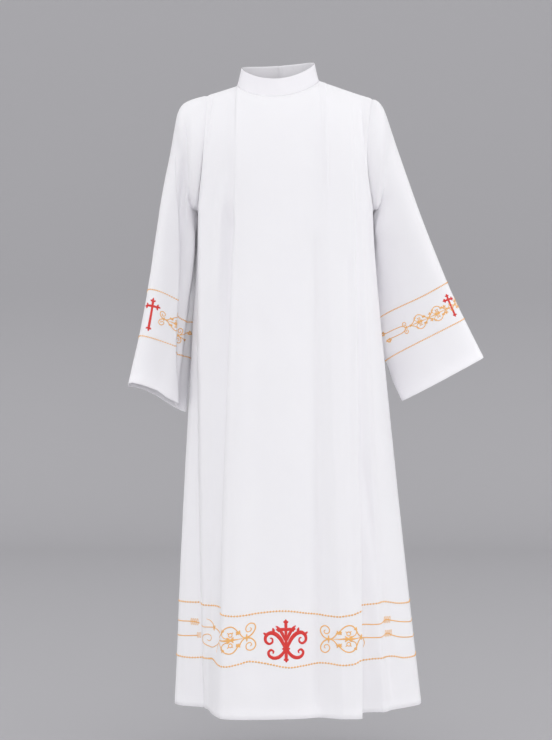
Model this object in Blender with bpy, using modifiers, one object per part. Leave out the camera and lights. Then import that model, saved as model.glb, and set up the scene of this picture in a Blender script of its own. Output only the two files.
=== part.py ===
"""Alb robe with a standing collar, worn and hanging: a front, a two-part back, two sleeves, a collar
and the button behind it. Metres, +Z up, the front faces -Y, and the origin is the middle of the
neckline at the height of the shoulders. "Left" and "right" are as seen from the front, so right is +X.

Every cloth piece is a grid of points on the middle of its wall. Its columns run up the cloth and its
rows run across it, and the two faces of the wall stand half a thickness to each side.
"""
from collections import namedtuple
from math import cos, pi, radians, sin, sqrt

import bpy
import numpy as np
from mathutils import Vector

CLOTH = 0.0016               # wall of the body and the sleeves
COLLAR_CLOTH = 0.0024        # the collar is folded double
SEAM_GAP = 0.0003            # between two pieces that are sewn together
HEM_Z = -1.45
CHEST_Z = -0.30              # the level of the underarm points
CHEST_EASE = 0.08            # share of the skirt over which the cloth turns to hang straight
SKIRT_ROWS = 10              # steps from the underarm level down to the hem
YOKE_ROWS = 13               # steps from the underarm level up to the shoulder
COLUMN_WIDTH = 0.024         # widest column at the hem
SWELL_PEAK = 27 / 4          # makes part**2 * (1 - part) reach 1 at its highest
CURL_POWER = 4               # how soon the curl of the cloth beside an armhole dies out on the way up

# Neckline: a ring round the neck, lowest in front, tipped a little towards the left.
NECK_HALF_WIDTH = 0.095
NECK_HALF_DEPTH = 0.076
NECK_CENTRE_Y = -0.003
NECK_FRONT_DROP = 0.044
NECK_BACK_RISE = 0.012
NECK_TIP = 0.06              # rise to the right, per metre

# Collar band
COLLAR_HEIGHT = 0.041
COLLAR_TOP_SCALE = 0.89      # the top edge against the neckline
COLLAR_LEAN = 0.8            # under 1, the band leans in most near its foot
COLLAR_TOP_SHARE = 0.55      # of the band's thickness, at its rounded top edge
COLLAR_LAP = 0.016           # how far one end covers the other behind the neck
LAP_RISE = 0.003             # the lap's lower edge clears the back
COLLAR_ROWS = (0.0, 0.3, 0.62, 0.88, 1.0)
BUTTON_RADIUS = 0.0055
BUTTON_THICKNESS = 0.0024
BUTTON_BEVEL = 0.35          # share of the thickness
BUTTON_STANDOFF = 0.0004     # from the band's outer face

# An armhole is an upright loop from the shoulder tip round the underarm. Its middle bows sideways.
Armhole = namedtuple("Armhole", "top_x top_z low_x low_z bow_x front back")
ARMHOLES = {
    "left": Armhole(
        top_x=-0.164, top_z=-0.030, low_x=-0.187, low_z=CHEST_Z, bow_x=0.0045, front=0.088, back=0.080
    ),
    "right": Armhole(
        top_x=0.220, top_z=-0.038, low_x=0.222, low_z=CHEST_Z, bow_x=-0.017, front=0.088, back=0.080
    ),
}

# The cloth hangs in lines that run from the shoulder seam or the neckline, over the chest level, to
# the hem. "top" is the place on the upper edge: 0 to 1 along the first shoulder, from its tip to the
# neck, 1 to 2 round the neckline, 2 to 3 along the other shoulder. "swell" is how far the line
# stands out above the chest level and "bow" how far it bends sideways halfway down the skirt. A line
# with no top ends beside the armhole.
Line = namedtuple("Line", "name top chest_x chest_y hem_x hem_y swell bow")
FRONT_LINES = (
    Line("left side seam", None, -0.187, 0.000, -0.171, -0.045, 0.000, -0.006),
    Line("left side", 0.22, -0.177, -0.094, -0.168, -0.056, 0.012, -0.004),
    Line("roll foot", 0.48, -0.142, -0.105, -0.160, -0.072, 0.018, 0.000),
    Line("roll rise", 0.75, -0.118, -0.109, -0.147, -0.122, 0.018, 0.000),
    Line("left tuck and roll crest", 1.00, -0.097, -0.120, -0.124, -0.164, 0.016, 0.000),
    Line("left front", 1.14, -0.066, -0.127, -0.085, -0.173, 0.008, 0.000),
    Line("left of the centre", 1.32, -0.022, -0.130, -0.024, -0.170, 0.003, 0.000),
    Line("centre", 1.50, 0.016, -0.129, 0.026, -0.165, 0.003, 0.000),
    Line("right of the centre", 1.68, 0.050, -0.127, 0.062, -0.158, 0.003, 0.000),
    Line("right trough", 1.86, 0.080, -0.124, 0.092, -0.148, 0.006, 0.000),
    Line("neck side", 2.00, 0.101, -0.125, 0.122, -0.157, 0.010, 0.000),
    Line("right tuck", 2.12, 0.114, -0.126, 0.148, -0.165, 0.014, 0.000),
    Line("right front", 2.35, 0.148, -0.122, 0.172, -0.165, 0.014, 0.002),
    Line("pleat edge", 2.52, 0.172, -0.117, 0.189, -0.159, 0.012, 0.003),
    Line("pleat lip", 2.55, 0.174, -0.1145, 0.1875, -0.154, 0.012, 0.003),
    Line("pleat under fold", 2.58, 0.176, -0.111, 0.163, -0.127, 0.012, 0.003),
    Line("pleat foot", 2.62, 0.179, -0.1085, 0.203, -0.098, 0.012, 0.003),
    Line("right side crest", 2.67, 0.189, -0.105, 0.240, -0.096, 0.010, 0.000),
    Line("right side crease", 2.71, 0.195, -0.101, 0.264, -0.071, 0.010, -0.002),
    Line("right side", 2.76, 0.203, -0.093, 0.292, -0.050, 0.008, -0.003),
    Line("right corner", None, 0.217, -0.048, 0.332, -0.010, 0.000, -0.003),
    Line("right side seam", None, 0.222, 0.000, 0.338, 0.036, 0.000, -0.003),
)
BACK_RIGHT_LINES = (
    Line("right side seam", None, 0.222, 0.000, 0.338, 0.036, 0.000, -0.003),
    Line("right back corner", 0.24, 0.205, 0.085, 0.322, 0.096, 0.006, -0.006),
    Line("first fold", 0.38, 0.184, 0.100, 0.283, 0.137, 0.010, 0.000),
    Line("first trough", 0.55, 0.158, 0.103, 0.241, 0.122, 0.012, 0.000),
    Line("second rise", 0.76, 0.130, 0.108, 0.203, 0.146, 0.010, 0.000),
    Line("second fold", 1.00, 0.102, 0.115, 0.161, 0.176, 0.006, 0.000),
    Line("second trough", 1.18, 0.072, 0.115, 0.115, 0.158, 0.004, 0.000),
    Line("beside the centre", 1.35, 0.042, 0.113, 0.066, 0.166, 0.002, 0.000),
    Line("centre back", 1.50, 0.016, 0.110, 0.026, 0.171, 0.000, 0.000),
)
BACK_LEFT_LINES = (
    Line("centre back", 1.50, 0.016, 0.110, 0.026, 0.171, 0.000, 0.000),
    Line("beside the centre", 1.66, -0.012, 0.114, -0.012, 0.169, 0.002, 0.000),
    Line("third trough", 1.82, -0.042, 0.115, -0.054, 0.155, 0.004, 0.000),
    Line("third fold", 2.00, -0.072, 0.115, -0.098, 0.177, 0.006, 0.000),
    Line("third rise", 2.30, -0.098, 0.108, -0.143, 0.150, 0.010, 0.000),
    Line("fourth trough", 2.52, -0.124, 0.101, -0.178, 0.117, 0.012, 0.000),
    Line("fourth fold", 2.70, -0.150, 0.096, -0.214, 0.101, 0.010, 0.000),
    Line("left back corner", 2.80, -0.170, 0.083, -0.237, 0.052, 0.006, -0.003),
    Line("left edge", None, -0.186, 0.030, -0.241, 0.000, 0.000, -0.005),
    Line("left turn", None, -0.1878, 0.014, -0.222, -0.026, 0.000, -0.006),
    Line("left side seam", None, -0.187, 0.000, -0.171, -0.045, 0.000, -0.006),
)

# A sleeve is a tube of rings from the armhole to the cuff. Each ring is an oval between an outer and
# an inner point, with its own depth in front of and behind the line between them.
Ring = namedtuple("Ring", "out_x out_y out_z in_x in_y in_z front back")
SLEEVES = {
    "left": (
        Ring(-0.199, 0.000, -0.041, -0.1925, 0.000, -0.2915, 0.092, 0.084),
        Ring(-0.222, -0.002, -0.054, -0.1990, 0.008, -0.2900, 0.092, 0.084),
        Ring(-0.2335, -0.004, -0.075, -0.2020, 0.022, -0.2960, 0.088, 0.078),
        Ring(-0.2405, -0.006, -0.110, -0.2000, 0.042, -0.314, 0.082, 0.066),
        Ring(-0.253, -0.010, -0.180, -0.1950, 0.063, -0.350, 0.074, 0.054),
        Ring(-0.267, -0.015, -0.250, -0.1885, 0.079, -0.395, 0.070, 0.046),
        Ring(-0.284, -0.020, -0.350, -0.1920, 0.081, -0.460, 0.066, 0.044),
        Ring(-0.302, -0.026, -0.461, -0.2000, 0.077, -0.540, 0.064, 0.044),
        Ring(-0.320, -0.032, -0.565, -0.2060, 0.076, -0.625, 0.064, 0.044),
        Ring(-0.337, -0.036, -0.645, -0.2120, 0.074, -0.700, 0.064, 0.044),
        Ring(-0.351, -0.040, -0.709, -0.2190, 0.070, -0.772, 0.064, 0.044),
    ),
    "right": (
        Ring(0.232, 0.000, -0.045, 0.2275, 0.000, -0.2915, 0.092, 0.084),
        Ring(0.2425, 0.000, -0.057, 0.2330, 0.008, -0.2895, 0.092, 0.084),
        Ring(0.252, 0.000, -0.080, 0.2360, 0.022, -0.296, 0.088, 0.078),
        Ring(0.264, 0.000, -0.115, 0.2350, 0.042, -0.315, 0.080, 0.066),
        Ring(0.288, 0.000, -0.185, 0.2315, 0.063, -0.355, 0.072, 0.052),
        Ring(0.3125, 0.000, -0.254, 0.2290, 0.081, -0.405, 0.066, 0.042),
        Ring(0.343, 0.000, -0.336, 0.2345, 0.084, -0.470, 0.060, 0.036),
        Ring(0.375, 0.000, -0.416, 0.2430, 0.080, -0.540, 0.055, 0.034),
        Ring(0.410, 0.000, -0.500, 0.2530, 0.072, -0.620, 0.050, 0.034),
        Ring(0.4465, 0.000, -0.575, 0.2700, 0.056, -0.690, 0.044, 0.034),
        Ring(0.480, 0.000, -0.642, 0.2930, 0.036, -0.744, 0.038, 0.034),
    ),
}
CUFF_TILT = {"left": 0.25, "right": 0.0}    # how much the front of the cuff rises, per metre forward
SLEEVE_ROUNDNESS = 0.85      # power of the ring's depth: 1 is an ellipse, less is squarer
FOLD_START = 0.2             # share of the sleeve above which it has no folds
FOLD_GROWTH = 4              # a fold is whole after 1 / 4 of the sleeve

# Folds along a sleeve: an angle round the ring from its outer point over the front, how wide the fold
# is, and how far it stands out or in near the shoulder and at the cuff.
SleeveFold = namedtuple("SleeveFold", "name angle width near_shoulder at_cuff")
SLEEVE_FOLDS = {
    "left": (
        SleeveFold("front ridge", 118, 20, 0.004, 0.011),
        SleeveFold("front hollow", 152, 17, -0.007, -0.013),
        SleeveFold("back ridge", 245, 22, 0.002, 0.008),
        SleeveFold("back hollow", 212, 18, -0.008, -0.008),
    ),
    "right": (
        SleeveFold("front ridge", 105, 24, 0.004, 0.003),
        SleeveFold("front hollow", 148, 20, -0.012, -0.003),
        SleeveFold("back ridge", 250, 24, 0.003, 0.004),
        SleeveFold("back hollow", 214, 20, -0.008, -0.004),
    ),
}


def smooth_through(places, values, wanted):
    """A curve through the values that never overshoots them, read at the wanted places."""
    values = np.asarray(values, float).reshape(len(places), -1)
    step = np.diff(places)[:, None]
    rate = np.diff(values, axis=0) / step
    slope = np.zeros_like(values)
    same_way = rate[:-1] * rate[1:] > 0
    total = np.where(same_way, rate[:-1] + rate[1:], 1.0)
    slope[1:-1] = np.where(same_way, 2 * rate[:-1] * rate[1:] / total, 0)
    slope[0], slope[-1] = rate[0], rate[-1]
    index = np.clip(np.searchsorted(places, wanted, side="right") - 1, 0, len(places) - 2)
    part = ((wanted - places[index]) / step[index, 0])[:, None]
    here, there = values[index], values[index + 1]
    start, end = slope[index] * step[index], slope[index + 1] * step[index]
    return (here * (1 + 2 * part) * (1 - part) ** 2 + there * part**2 * (3 - 2 * part)
            + start * part * (1 - part) ** 2 - end * part**2 * (1 - part))


def neckline(turn):
    """A point of the neckline: turn 0 is the middle of the front and pi the middle of the back."""
    x = NECK_HALF_WIDTH * sin(turn)
    y = NECK_CENTRE_Y - NECK_HALF_DEPTH * cos(turn)
    fall = -NECK_FRONT_DROP * ((1 + cos(turn)) / 2) ** 2.5
    rise = NECK_BACK_RISE * (1 - cos(turn)) / 2
    return np.array((x, y, fall + rise + NECK_TIP * x))


def armhole_point(side, part, face):
    """A point of the armhole, part of the way up its height, on its front or its back."""
    hole = ARMHOLES[side]
    x = hole.low_x + (hole.top_x - hole.low_x) * part + hole.bow_x * 4 * part * (1 - part)
    depth = -hole.front if face == "front" else hole.back
    y = depth * 2 * sqrt(max(part * (1 - part), 0))
    return np.array((x, y, hole.low_z + (hole.top_z - hole.low_z) * part))


def upper_edge(place, face):
    """A point of the shoulder seams and the neckline, counted as in the tables of lines."""
    first, second = ("left", "right") if face == "front" else ("right", "left")
    side_turn = -pi / 2 if face == "front" else pi / 2
    if 1 <= place <= 2:
        return neckline(side_turn + (place - 1) * pi)
    side, along = (first, place) if place < 1 else (second, 3 - place)
    neck = neckline(-pi / 2 if side == "left" else pi / 2)
    return armhole_point(side, 1, face) * (1 - along) + neck * along


class Cloth:
    """One piece of cloth: points and outward directions on a grid, and what its edges are sewn to."""

    def __init__(self, name, points, sewn, closed=False, outward=1):
        self.name = name
        self.points = np.asarray(points, float)
        self.sewn = sewn                 # which of the four edges are seams: low, high, first, last
        self.closed = closed             # a tube's last column joins its first
        self.normals = outward * self.directions()

    def directions(self):
        """The direction across the wall at each point."""
        grid = self.points
        up = np.gradient(grid, axis=0)
        if self.closed:
            across = np.roll(grid, -1, axis=1) - np.roll(grid, 1, axis=1)
        else:
            across = np.gradient(grid, axis=1)
        normal = np.cross(across, up)
        size = np.linalg.norm(normal, axis=2, keepdims=True)
        return normal / np.maximum(size, 1e-12)

    def inset_seams(self):
        """Moves each sewn edge back by half the seam gap, at right angles to the seam."""
        moved = self.points.copy()
        edges = {
            "low": (self.points[0], self.points[1], self.normals[0], np.s_[0, :]),
            "high": (self.points[-1], self.points[-2], self.normals[-1], np.s_[-1, :]),
            "first": (self.points[:, 0], self.points[:, 1], self.normals[:, 0], np.s_[:, 0]),
            "last": (self.points[:, -1], self.points[:, -2], self.normals[:, -1], np.s_[:, -1]),
        }
        for edge in self.sewn:
            seam, inside, normal, where = edges[edge]
            if self.closed:
                along = np.roll(seam, -1, axis=0) - np.roll(seam, 1, axis=0)
            else:
                along = np.gradient(seam, axis=0)
            back = np.cross(normal, along)
            back /= np.maximum(np.linalg.norm(back, axis=1, keepdims=True), 1e-12)
            side = np.sign(np.sum(back * (inside - seam), axis=1, keepdims=True))
            common = np.sign(side.sum()) or 1.0
            moved[where] += back * common * SEAM_GAP / 2
        self.points = moved


def share_normals(pieces):
    """Gives the points where pieces meet one direction, so that their walls end face to face."""
    total = {}
    for piece in pieces:
        for spot, normal in zip(piece.points.reshape(-1, 3), piece.normals.reshape(-1, 3)):
            key = tuple(np.round(spot * 1e5).astype(int))
            total[key] = total.get(key, 0) + normal
    for piece in pieces:
        shape = piece.normals.shape
        keys = [tuple(np.round(spot * 1e5).astype(int)) for spot in piece.points.reshape(-1, 3)]
        shared = np.array([total[key] for key in keys])
        shared /= np.linalg.norm(shared, axis=1, keepdims=True)
        piece.normals = shared.reshape(shape)


def straighten_shoulders(panel):
    """Turns the wall's direction evenly along each shoulder seam, from the sleeve to the neck."""
    seam, normals = panel.points[-1], panel.normals[-1]
    on_neck = np.flatnonzero(np.abs(seam[:, 0]) <= NECK_HALF_WIDTH + 1e-6)
    for tip, neck in ((0, on_neck[0]), (len(seam) - 1, on_neck[-1])):
        length = np.linalg.norm(seam[neck] - seam[tip])
        if length < SEAM_GAP or abs(seam[neck, 0]) < NECK_HALF_WIDTH - 1e-6:
            continue
        for index in range(min(tip, neck), max(tip, neck) + 1):
            share = np.linalg.norm(seam[index] - seam[tip]) / length
            mixed = normals[tip] * (1 - share) + normals[neck] * share
            panel.normals[-1, index] = mixed / np.linalg.norm(mixed)


def columns_of(lines):
    """Places of the columns along a row of lines: whole numbers are the lines themselves."""
    places = [0.0]
    for index, (line, after) in enumerate(zip(lines, lines[1:])):
        at_hem = np.hypot(after.hem_x - line.hem_x, after.hem_y - line.hem_y)
        at_chest = np.hypot(after.chest_x - line.chest_x, after.chest_y - line.chest_y)
        steps = max(1, int(np.ceil(max(at_hem, at_chest) / COLUMN_WIDTH)))
        places += [index + step / steps for step in range(1, steps + 1)]
    return np.array(places)


def body_panel(name, lines, face, sewn):
    """A front or back panel, from the hem up over the chest to the shoulders and the neckline."""
    stations = np.arange(len(lines), dtype=float)
    columns = columns_of(lines)
    chest = smooth_through(stations, [(line.chest_x, line.chest_y) for line in lines], columns)
    hem = smooth_through(stations, [(line.hem_x, line.hem_y) for line in lines], columns)
    swell = smooth_through(stations, [line.swell for line in lines], columns)[:, 0]
    bow = smooth_through(stations, [line.bow for line in lines], columns)[:, 0]
    free = [index for index, line in enumerate(lines) if line.top is not None]
    tops = np.interp(columns, free, [lines[index].top for index in free])
    forward = -1 if face == "front" else 1
    rows = []
    for step in range(SKIRT_ROWS, 0, -1):
        fall = step / SKIRT_ROWS
        # The cloth leaves the chest upright and soon hangs straight.
        flat = chest + (hem - chest) * fall**2 / (fall + CHEST_EASE) * (1 + CHEST_EASE)
        flat[:, 0] += bow * 4 * fall * (1 - fall)
        rows.append(np.column_stack((flat, np.full(len(columns), CHEST_Z + (HEM_Z - CHEST_Z) * fall))))
    walked = np.r_[0, np.cumsum(np.linalg.norm(np.diff(chest, axis=0), axis=1))]
    for step in range(YOKE_ROWS + 1):
        part = (1 - cos(pi * step / YOKE_ROWS)) / 2
        row = np.empty((len(columns), 3))
        for index, column in enumerate(columns):
            top = upper_edge(tops[index], face)
            keep = sqrt(1 - part**2)
            row[index, 0] = chest[index, 0] + (top[0] - chest[index, 0]) * part
            row[index, 1] = chest[index, 1] * keep + top[1] * (1 - keep)
            row[index, 1] += forward * swell[index] * SWELL_PEAK * part**2 * (1 - part)
            row[index, 2] = CHEST_Z + (top[2] - CHEST_Z) * part
        # Between an armhole and the first free line the cloth runs along the armhole.
        for free_line, edge in ((free[0], 0), (free[-1], len(lines) - 1)):
            if free_line == edge:
                continue
            side = "left" if lines[edge].chest_x < 0 else "right"
            last_free = int(np.argmin(np.abs(columns - free_line)))
            end = 0 if edge == 0 else len(columns) - 1
            hole, hole_low = armhole_point(side, part, face), armhole_point(side, 0, face)
            low_free = np.array((*chest[last_free], CHEST_Z))
            for index in range(min(end, last_free), max(end, last_free) + 1):
                share = (walked[index] - walked[end]) / (walked[last_free] - walked[end])
                bent = np.array((*chest[index], CHEST_Z)) - (hole_low * (1 - share) + low_free * share)
                row[index] = hole * (1 - share) + row[last_free] * share + bent * (1 - part) ** CURL_POWER
        rows.append(row)
    return Cloth(name, rows, sewn, outward=1)


def sleeve(side):
    """A sleeve: the first ring is the armhole, shared with the body, and the last is the cuff."""
    angles = [pi * step / YOKE_ROWS for step in range(2 * YOKE_ROWS)]
    rings = SLEEVES[side]
    grid = [[armhole_point(side, (1 + cos(angle)) / 2, "front" if angle < pi else "back")
             for angle in angles]]
    for index, ring in enumerate(rings):
        along = (index + 1) / len(rings)
        outer = np.array((ring.out_x, ring.out_y, ring.out_z))
        inner = np.array((ring.in_x, ring.in_y, ring.in_z))
        middle, half = (outer + inner) / 2, (outer - inner) / 2
        row = []
        for angle in angles:
            depth = -ring.front if angle < pi else ring.back
            spot = middle + half * cos(angle) + np.array((0, depth * abs(sin(angle)) ** SLEEVE_ROUNDNESS, 0))
            spot[2] -= CUFF_TILT[side] * along**2 * (spot[1] - middle[1] - half[1] * cos(angle))
            away = spot - middle
            away /= np.linalg.norm(away)
            for fold in SLEEVE_FOLDS[side]:
                gap = (angle - radians(fold.angle)) / radians(fold.width)
                size = fold.near_shoulder + (fold.at_cuff - fold.near_shoulder) * along
                begun = min(max((along - FOLD_START) * FOLD_GROWTH, 0), 1)
                spot = spot + away * size * begun * np.exp(-gap**2)
            row.append(spot)
        grid.append(row)
    return Cloth("sleeve_" + side, grid, ("low",), closed=True, outward=-1 if side == "left" else 1)


def collar(front, back_right, back_left):
    """The collar band stands on the neckline points of the body panels and laps behind the neck."""
    on_neck = [panel.points[-1][np.abs(panel.points[-1][:, 0]) <= NECK_HALF_WIDTH + 1e-6]
               for panel in (back_left, front, back_right)]
    base = np.vstack((on_neck[0], on_neck[1][1:], on_neck[2][1:]))
    # The lap repeats the first stretch of the band, just outside it.
    lap = base[:1] + (base[1:2] - base[:1]) * COLLAR_LAP / np.linalg.norm(base[1] - base[0])
    base = np.vstack((base, lap))
    outside = np.zeros(len(base))
    outside[-2:] = COLLAR_CLOTH + 2 * SEAM_GAP
    centre = np.array((0, NECK_CENTRE_Y))
    grid = []
    for part in COLLAR_ROWS:
        scale = 1 + (COLLAR_TOP_SCALE - 1) * part**COLLAR_LEAN
        row = base.copy()
        row[:, :2] = centre + (base[:, :2] - centre) * scale
        radial = row[:, :2] - centre
        row[:, :2] += radial / np.linalg.norm(radial, axis=1, keepdims=True) * outside[:, None]
        row[:, 2] += COLLAR_HEIGHT * part
        grid.append(row)
    grid = np.array(grid)
    grid[0, -2:, 2] += LAP_RISE
    return Cloth("collar", grid, ("low",))


def build_wall(piece, thickness, edge_share, finish, collection):
    """Makes the closed wall of one piece: outer face, inner face and the strips along its edges."""
    rows, count = piece.points.shape[:2]
    half = np.full((rows, 1, 1), thickness / 2)
    half[-1] *= edge_share
    outer = (piece.points + piece.normals * half).reshape(-1, 3)
    inner = (piece.points - piece.normals * half).reshape(-1, 3)
    vertices = np.vstack((outer, inner))
    total = rows * count
    wraps = count if piece.closed else count - 1
    quads = []
    for row in range(rows - 1):
        for column in range(wraps):
            a = row * count + column
            b = row * count + (column + 1) % count
            quads.append((a, b, b + count, a + count))
            quads.append((a + total, a + count + total, b + count + total, b + total))
    for column in range(wraps):
        low, low_after = column, (column + 1) % count
        high, high_after = low + (rows - 1) * count, low_after + (rows - 1) * count
        quads.append((low_after, low, low + total, low_after + total))
        quads.append((high, high_after, high_after + total, high + total))
    if not piece.closed:
        for first in range(0, (rows - 1) * count, count):
            last = first + count - 1
            quads.append((first, first + count, first + count + total, first + total))
            quads.append((last + count, last, last + total, last + count + total))
    faces = []
    for a, b, c, d in quads:
        # Cut along the shorter diagonal, so that two walls that meet are cut alike.
        if np.linalg.norm(vertices[a] - vertices[c]) < np.linalg.norm(vertices[b] - vertices[d]):
            faces += [(a, b, c), (a, c, d)]
        else:
            faces += [(a, b, d), (b, c, d)]
    mesh = bpy.data.meshes.new(piece.name)
    mesh.from_pydata(vertices.tolist(), [], faces)
    mesh.validate()
    volume = sum(face.area * face.center.dot(face.normal) for face in mesh.polygons)
    if volume < 0:
        mesh.flip_normals()
    mesh.shade_smooth()
    mesh.set_sharp_from_angle(angle=radians(50))
    mesh.materials.append(finish)
    made = bpy.data.objects.new(piece.name, mesh)
    collection.objects.link(made)
    return made


def material(name, colour, roughness, metallic=0.0):
    """A plain finish: colour, roughness and metallic value on a Principled BSDF."""
    made = bpy.data.materials.new(name)
    made.use_nodes = True
    shader = made.node_tree.nodes["Principled BSDF"]
    shader.inputs["Base Color"].default_value = (*colour, 1.0)
    shader.inputs["Roughness"].default_value = roughness
    shader.inputs["Metallic"].default_value = metallic
    return made


def collar_button(band, finish, collection):
    """The button on the lapped end of the collar: a low disc with rounded edges."""
    corner = band.points[1:4, -2:].mean(axis=(0, 1))
    outward = band.normals[2, -2:].mean(axis=0)
    outward /= np.linalg.norm(outward)
    centre = corner + outward * (COLLAR_CLOTH / 2 + SEAM_GAP + BUTTON_THICKNESS / 2 + BUTTON_STANDOFF)
    bpy.ops.mesh.primitive_cylinder_add(vertices=24, radius=BUTTON_RADIUS, depth=BUTTON_THICKNESS)
    button = bpy.context.object
    button.name = "collar_button"
    bevel = button.modifiers.new("rounded edge", "BEVEL")
    bevel.width = BUTTON_THICKNESS * BUTTON_BEVEL
    bevel.segments = 2
    bevel.limit_method = "ANGLE"
    button.location = centre
    button.rotation_mode = "QUATERNION"
    button.rotation_quaternion = Vector(outward).to_track_quat("Z", "Y")
    button.data.materials.append(finish)
    button.data.shade_smooth()
    for holder in list(button.users_collection):
        holder.objects.unlink(button)
    collection.objects.link(button)


def main():
    for old in list(bpy.data.objects):
        bpy.data.objects.remove(old)
    robe = bpy.data.collections.new("alb_robe")
    bpy.context.scene.collection.children.link(robe)

    front = body_panel("front", FRONT_LINES, "front", ("high", "first", "last"))
    back_right = body_panel("back_right", BACK_RIGHT_LINES, "back", ("high", "first", "last"))
    back_left = body_panel("back_left", BACK_LEFT_LINES, "back", ("high", "first", "last"))
    sleeve_left, sleeve_right = sleeve("left"), sleeve("right")
    band = collar(front, back_right, back_left)
    cloths = (front, back_right, back_left, sleeve_left, sleeve_right, band)
    share_normals(cloths)
    for panel in (front, back_right, back_left):
        straighten_shoulders(panel)
    for piece in cloths:
        piece.inset_seams()

    white = (0.86, 0.85, 0.89)
    for piece in cloths[:-1]:
        build_wall(piece, CLOTH, 1.0, material(piece.name + "_cloth", white, 0.8), robe)
    build_wall(band, COLLAR_CLOTH, COLLAR_TOP_SHARE, material("collar_cloth", white, 0.75), robe)
    collar_button(band, material("button_plastic", (0.85, 0.85, 0.87), 0.3), robe)


main()
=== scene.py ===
from collections import namedtuple
from math import ceil, cos, hypot, pi, radians, sin, sqrt

import bpy
import numpy as np
from mathutils import Matrix, Vector


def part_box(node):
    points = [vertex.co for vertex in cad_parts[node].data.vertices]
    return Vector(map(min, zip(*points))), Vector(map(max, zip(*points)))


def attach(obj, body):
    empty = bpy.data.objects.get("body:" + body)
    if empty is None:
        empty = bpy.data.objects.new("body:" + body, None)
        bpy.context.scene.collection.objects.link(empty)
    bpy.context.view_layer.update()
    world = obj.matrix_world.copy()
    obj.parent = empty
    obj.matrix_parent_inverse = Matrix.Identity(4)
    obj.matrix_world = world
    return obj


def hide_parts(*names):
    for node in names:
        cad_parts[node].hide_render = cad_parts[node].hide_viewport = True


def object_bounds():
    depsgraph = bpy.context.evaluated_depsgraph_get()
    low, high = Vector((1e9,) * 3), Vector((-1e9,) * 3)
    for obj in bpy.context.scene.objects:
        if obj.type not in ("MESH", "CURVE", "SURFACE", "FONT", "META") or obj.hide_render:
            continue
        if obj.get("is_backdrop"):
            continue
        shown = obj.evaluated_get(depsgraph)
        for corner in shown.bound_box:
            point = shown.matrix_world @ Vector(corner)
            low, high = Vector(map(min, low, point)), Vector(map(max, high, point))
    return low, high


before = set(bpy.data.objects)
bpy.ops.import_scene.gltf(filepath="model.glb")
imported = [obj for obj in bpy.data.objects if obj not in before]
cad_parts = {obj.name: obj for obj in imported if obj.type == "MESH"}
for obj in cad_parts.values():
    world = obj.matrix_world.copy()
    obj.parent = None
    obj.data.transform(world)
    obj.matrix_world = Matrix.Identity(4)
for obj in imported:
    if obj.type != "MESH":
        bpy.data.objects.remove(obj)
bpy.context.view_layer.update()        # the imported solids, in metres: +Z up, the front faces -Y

print("alb: camera and lights")


def newObject(name, data):
    made = bpy.data.objects.new(name, data)
    bpy.context.scene.collection.objects.link(made)
    return made


view = {"place": (-0.0047, -3.5, -0.6716), "lens": 72.76, "sensor": 36.0}      # level, facing the front
camera = bpy.data.cameras.new("camera")
camera.lens = view["lens"]
camera.sensor_width = view["sensor"]
cameraObject = newObject("camera", camera)
cameraObject.location = view["place"]
cameraObject.rotation_euler = (radians(90), 0, 0)
bpy.context.scene.camera = cameraObject

lamps = (      # name, place, aim, width, height, watts
    ("frontLight", (0.0, -4.6, -0.55), (0, 0, -0.75), 1.4, 1.4, 39),
    ("rightLight", (3.0, -1.2, -0.7), (0, 0, -0.8), 1.2, 2.4, 17),
    ("leftLight", (-3.0, -1.2, -0.7), (0, 0, -0.8), 1.2, 2.4, 9),
)


def areaLight(name, place, aim, width, height, watts):
    lamp = bpy.data.lights.new(name, "AREA")
    lamp.shape = "RECTANGLE"
    lamp.size, lamp.size_y = width, height
    lamp.energy = watts
    made = newObject(name, lamp)
    made.location = place
    made.rotation_euler = (Vector(aim) - Vector(place)).to_track_quat("-Z", "Y").to_euler()


for lamp in lamps:
    areaLight(*lamp)

room = {"colour": (0.95, 0.95, 0.965, 1), "strength": 1.05}
world = bpy.data.worlds.new("softRoom")
world.use_nodes = True
world.node_tree.nodes["Background"].inputs["Color"].default_value = room["colour"]
world.node_tree.nodes["Background"].inputs["Strength"].default_value = room["strength"]
bpy.context.scene.world = world
bpy.context.scene.view_settings.view_transform = "Standard"

stage = {
    "floorZ": -1.60, "backY": 5.6, "frontY": -6.0, "halfWidth": 9.0, "top": 3.8,
    "bend": 1.4, "steps": 16, "colour": (0.44, 0.435, 0.45, 1), "roughness": 0.9,
}


def makeStage():
    profile = [(stage["frontY"], stage["floorZ"])]
    for step in range(stage["steps"] + 1):      # the floor sweeps up into the wall
        turn = pi / 2 * step / stage["steps"]
        profile.append((stage["backY"] - stage["bend"] * (1 - sin(turn)),
                        stage["floorZ"] + stage["bend"] * (1 - cos(turn))))
    profile.append((stage["backY"], stage["top"]))
    vertices = [(side * stage["halfWidth"], y, z) for y, z in profile for side in (-1, 1)]
    faces = [(2 * i, 2 * i + 1, 2 * i + 3, 2 * i + 2) for i in range(len(profile) - 1)]
    mesh = bpy.data.meshes.new("floor")
    mesh.from_pydata(vertices, [], faces)
    mesh.shade_smooth()
    floor = newObject("floor", mesh)
    paint = bpy.data.materials.new("palePaper")
    paint.use_nodes = True
    shader = paint.node_tree.nodes["Principled BSDF"]
    shader.inputs["Base Color"].default_value = stage["colour"]
    shader.inputs["Roughness"].default_value = stage["roughness"]
    mesh.materials.append(paint)
    floor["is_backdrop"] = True


makeStage()

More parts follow.
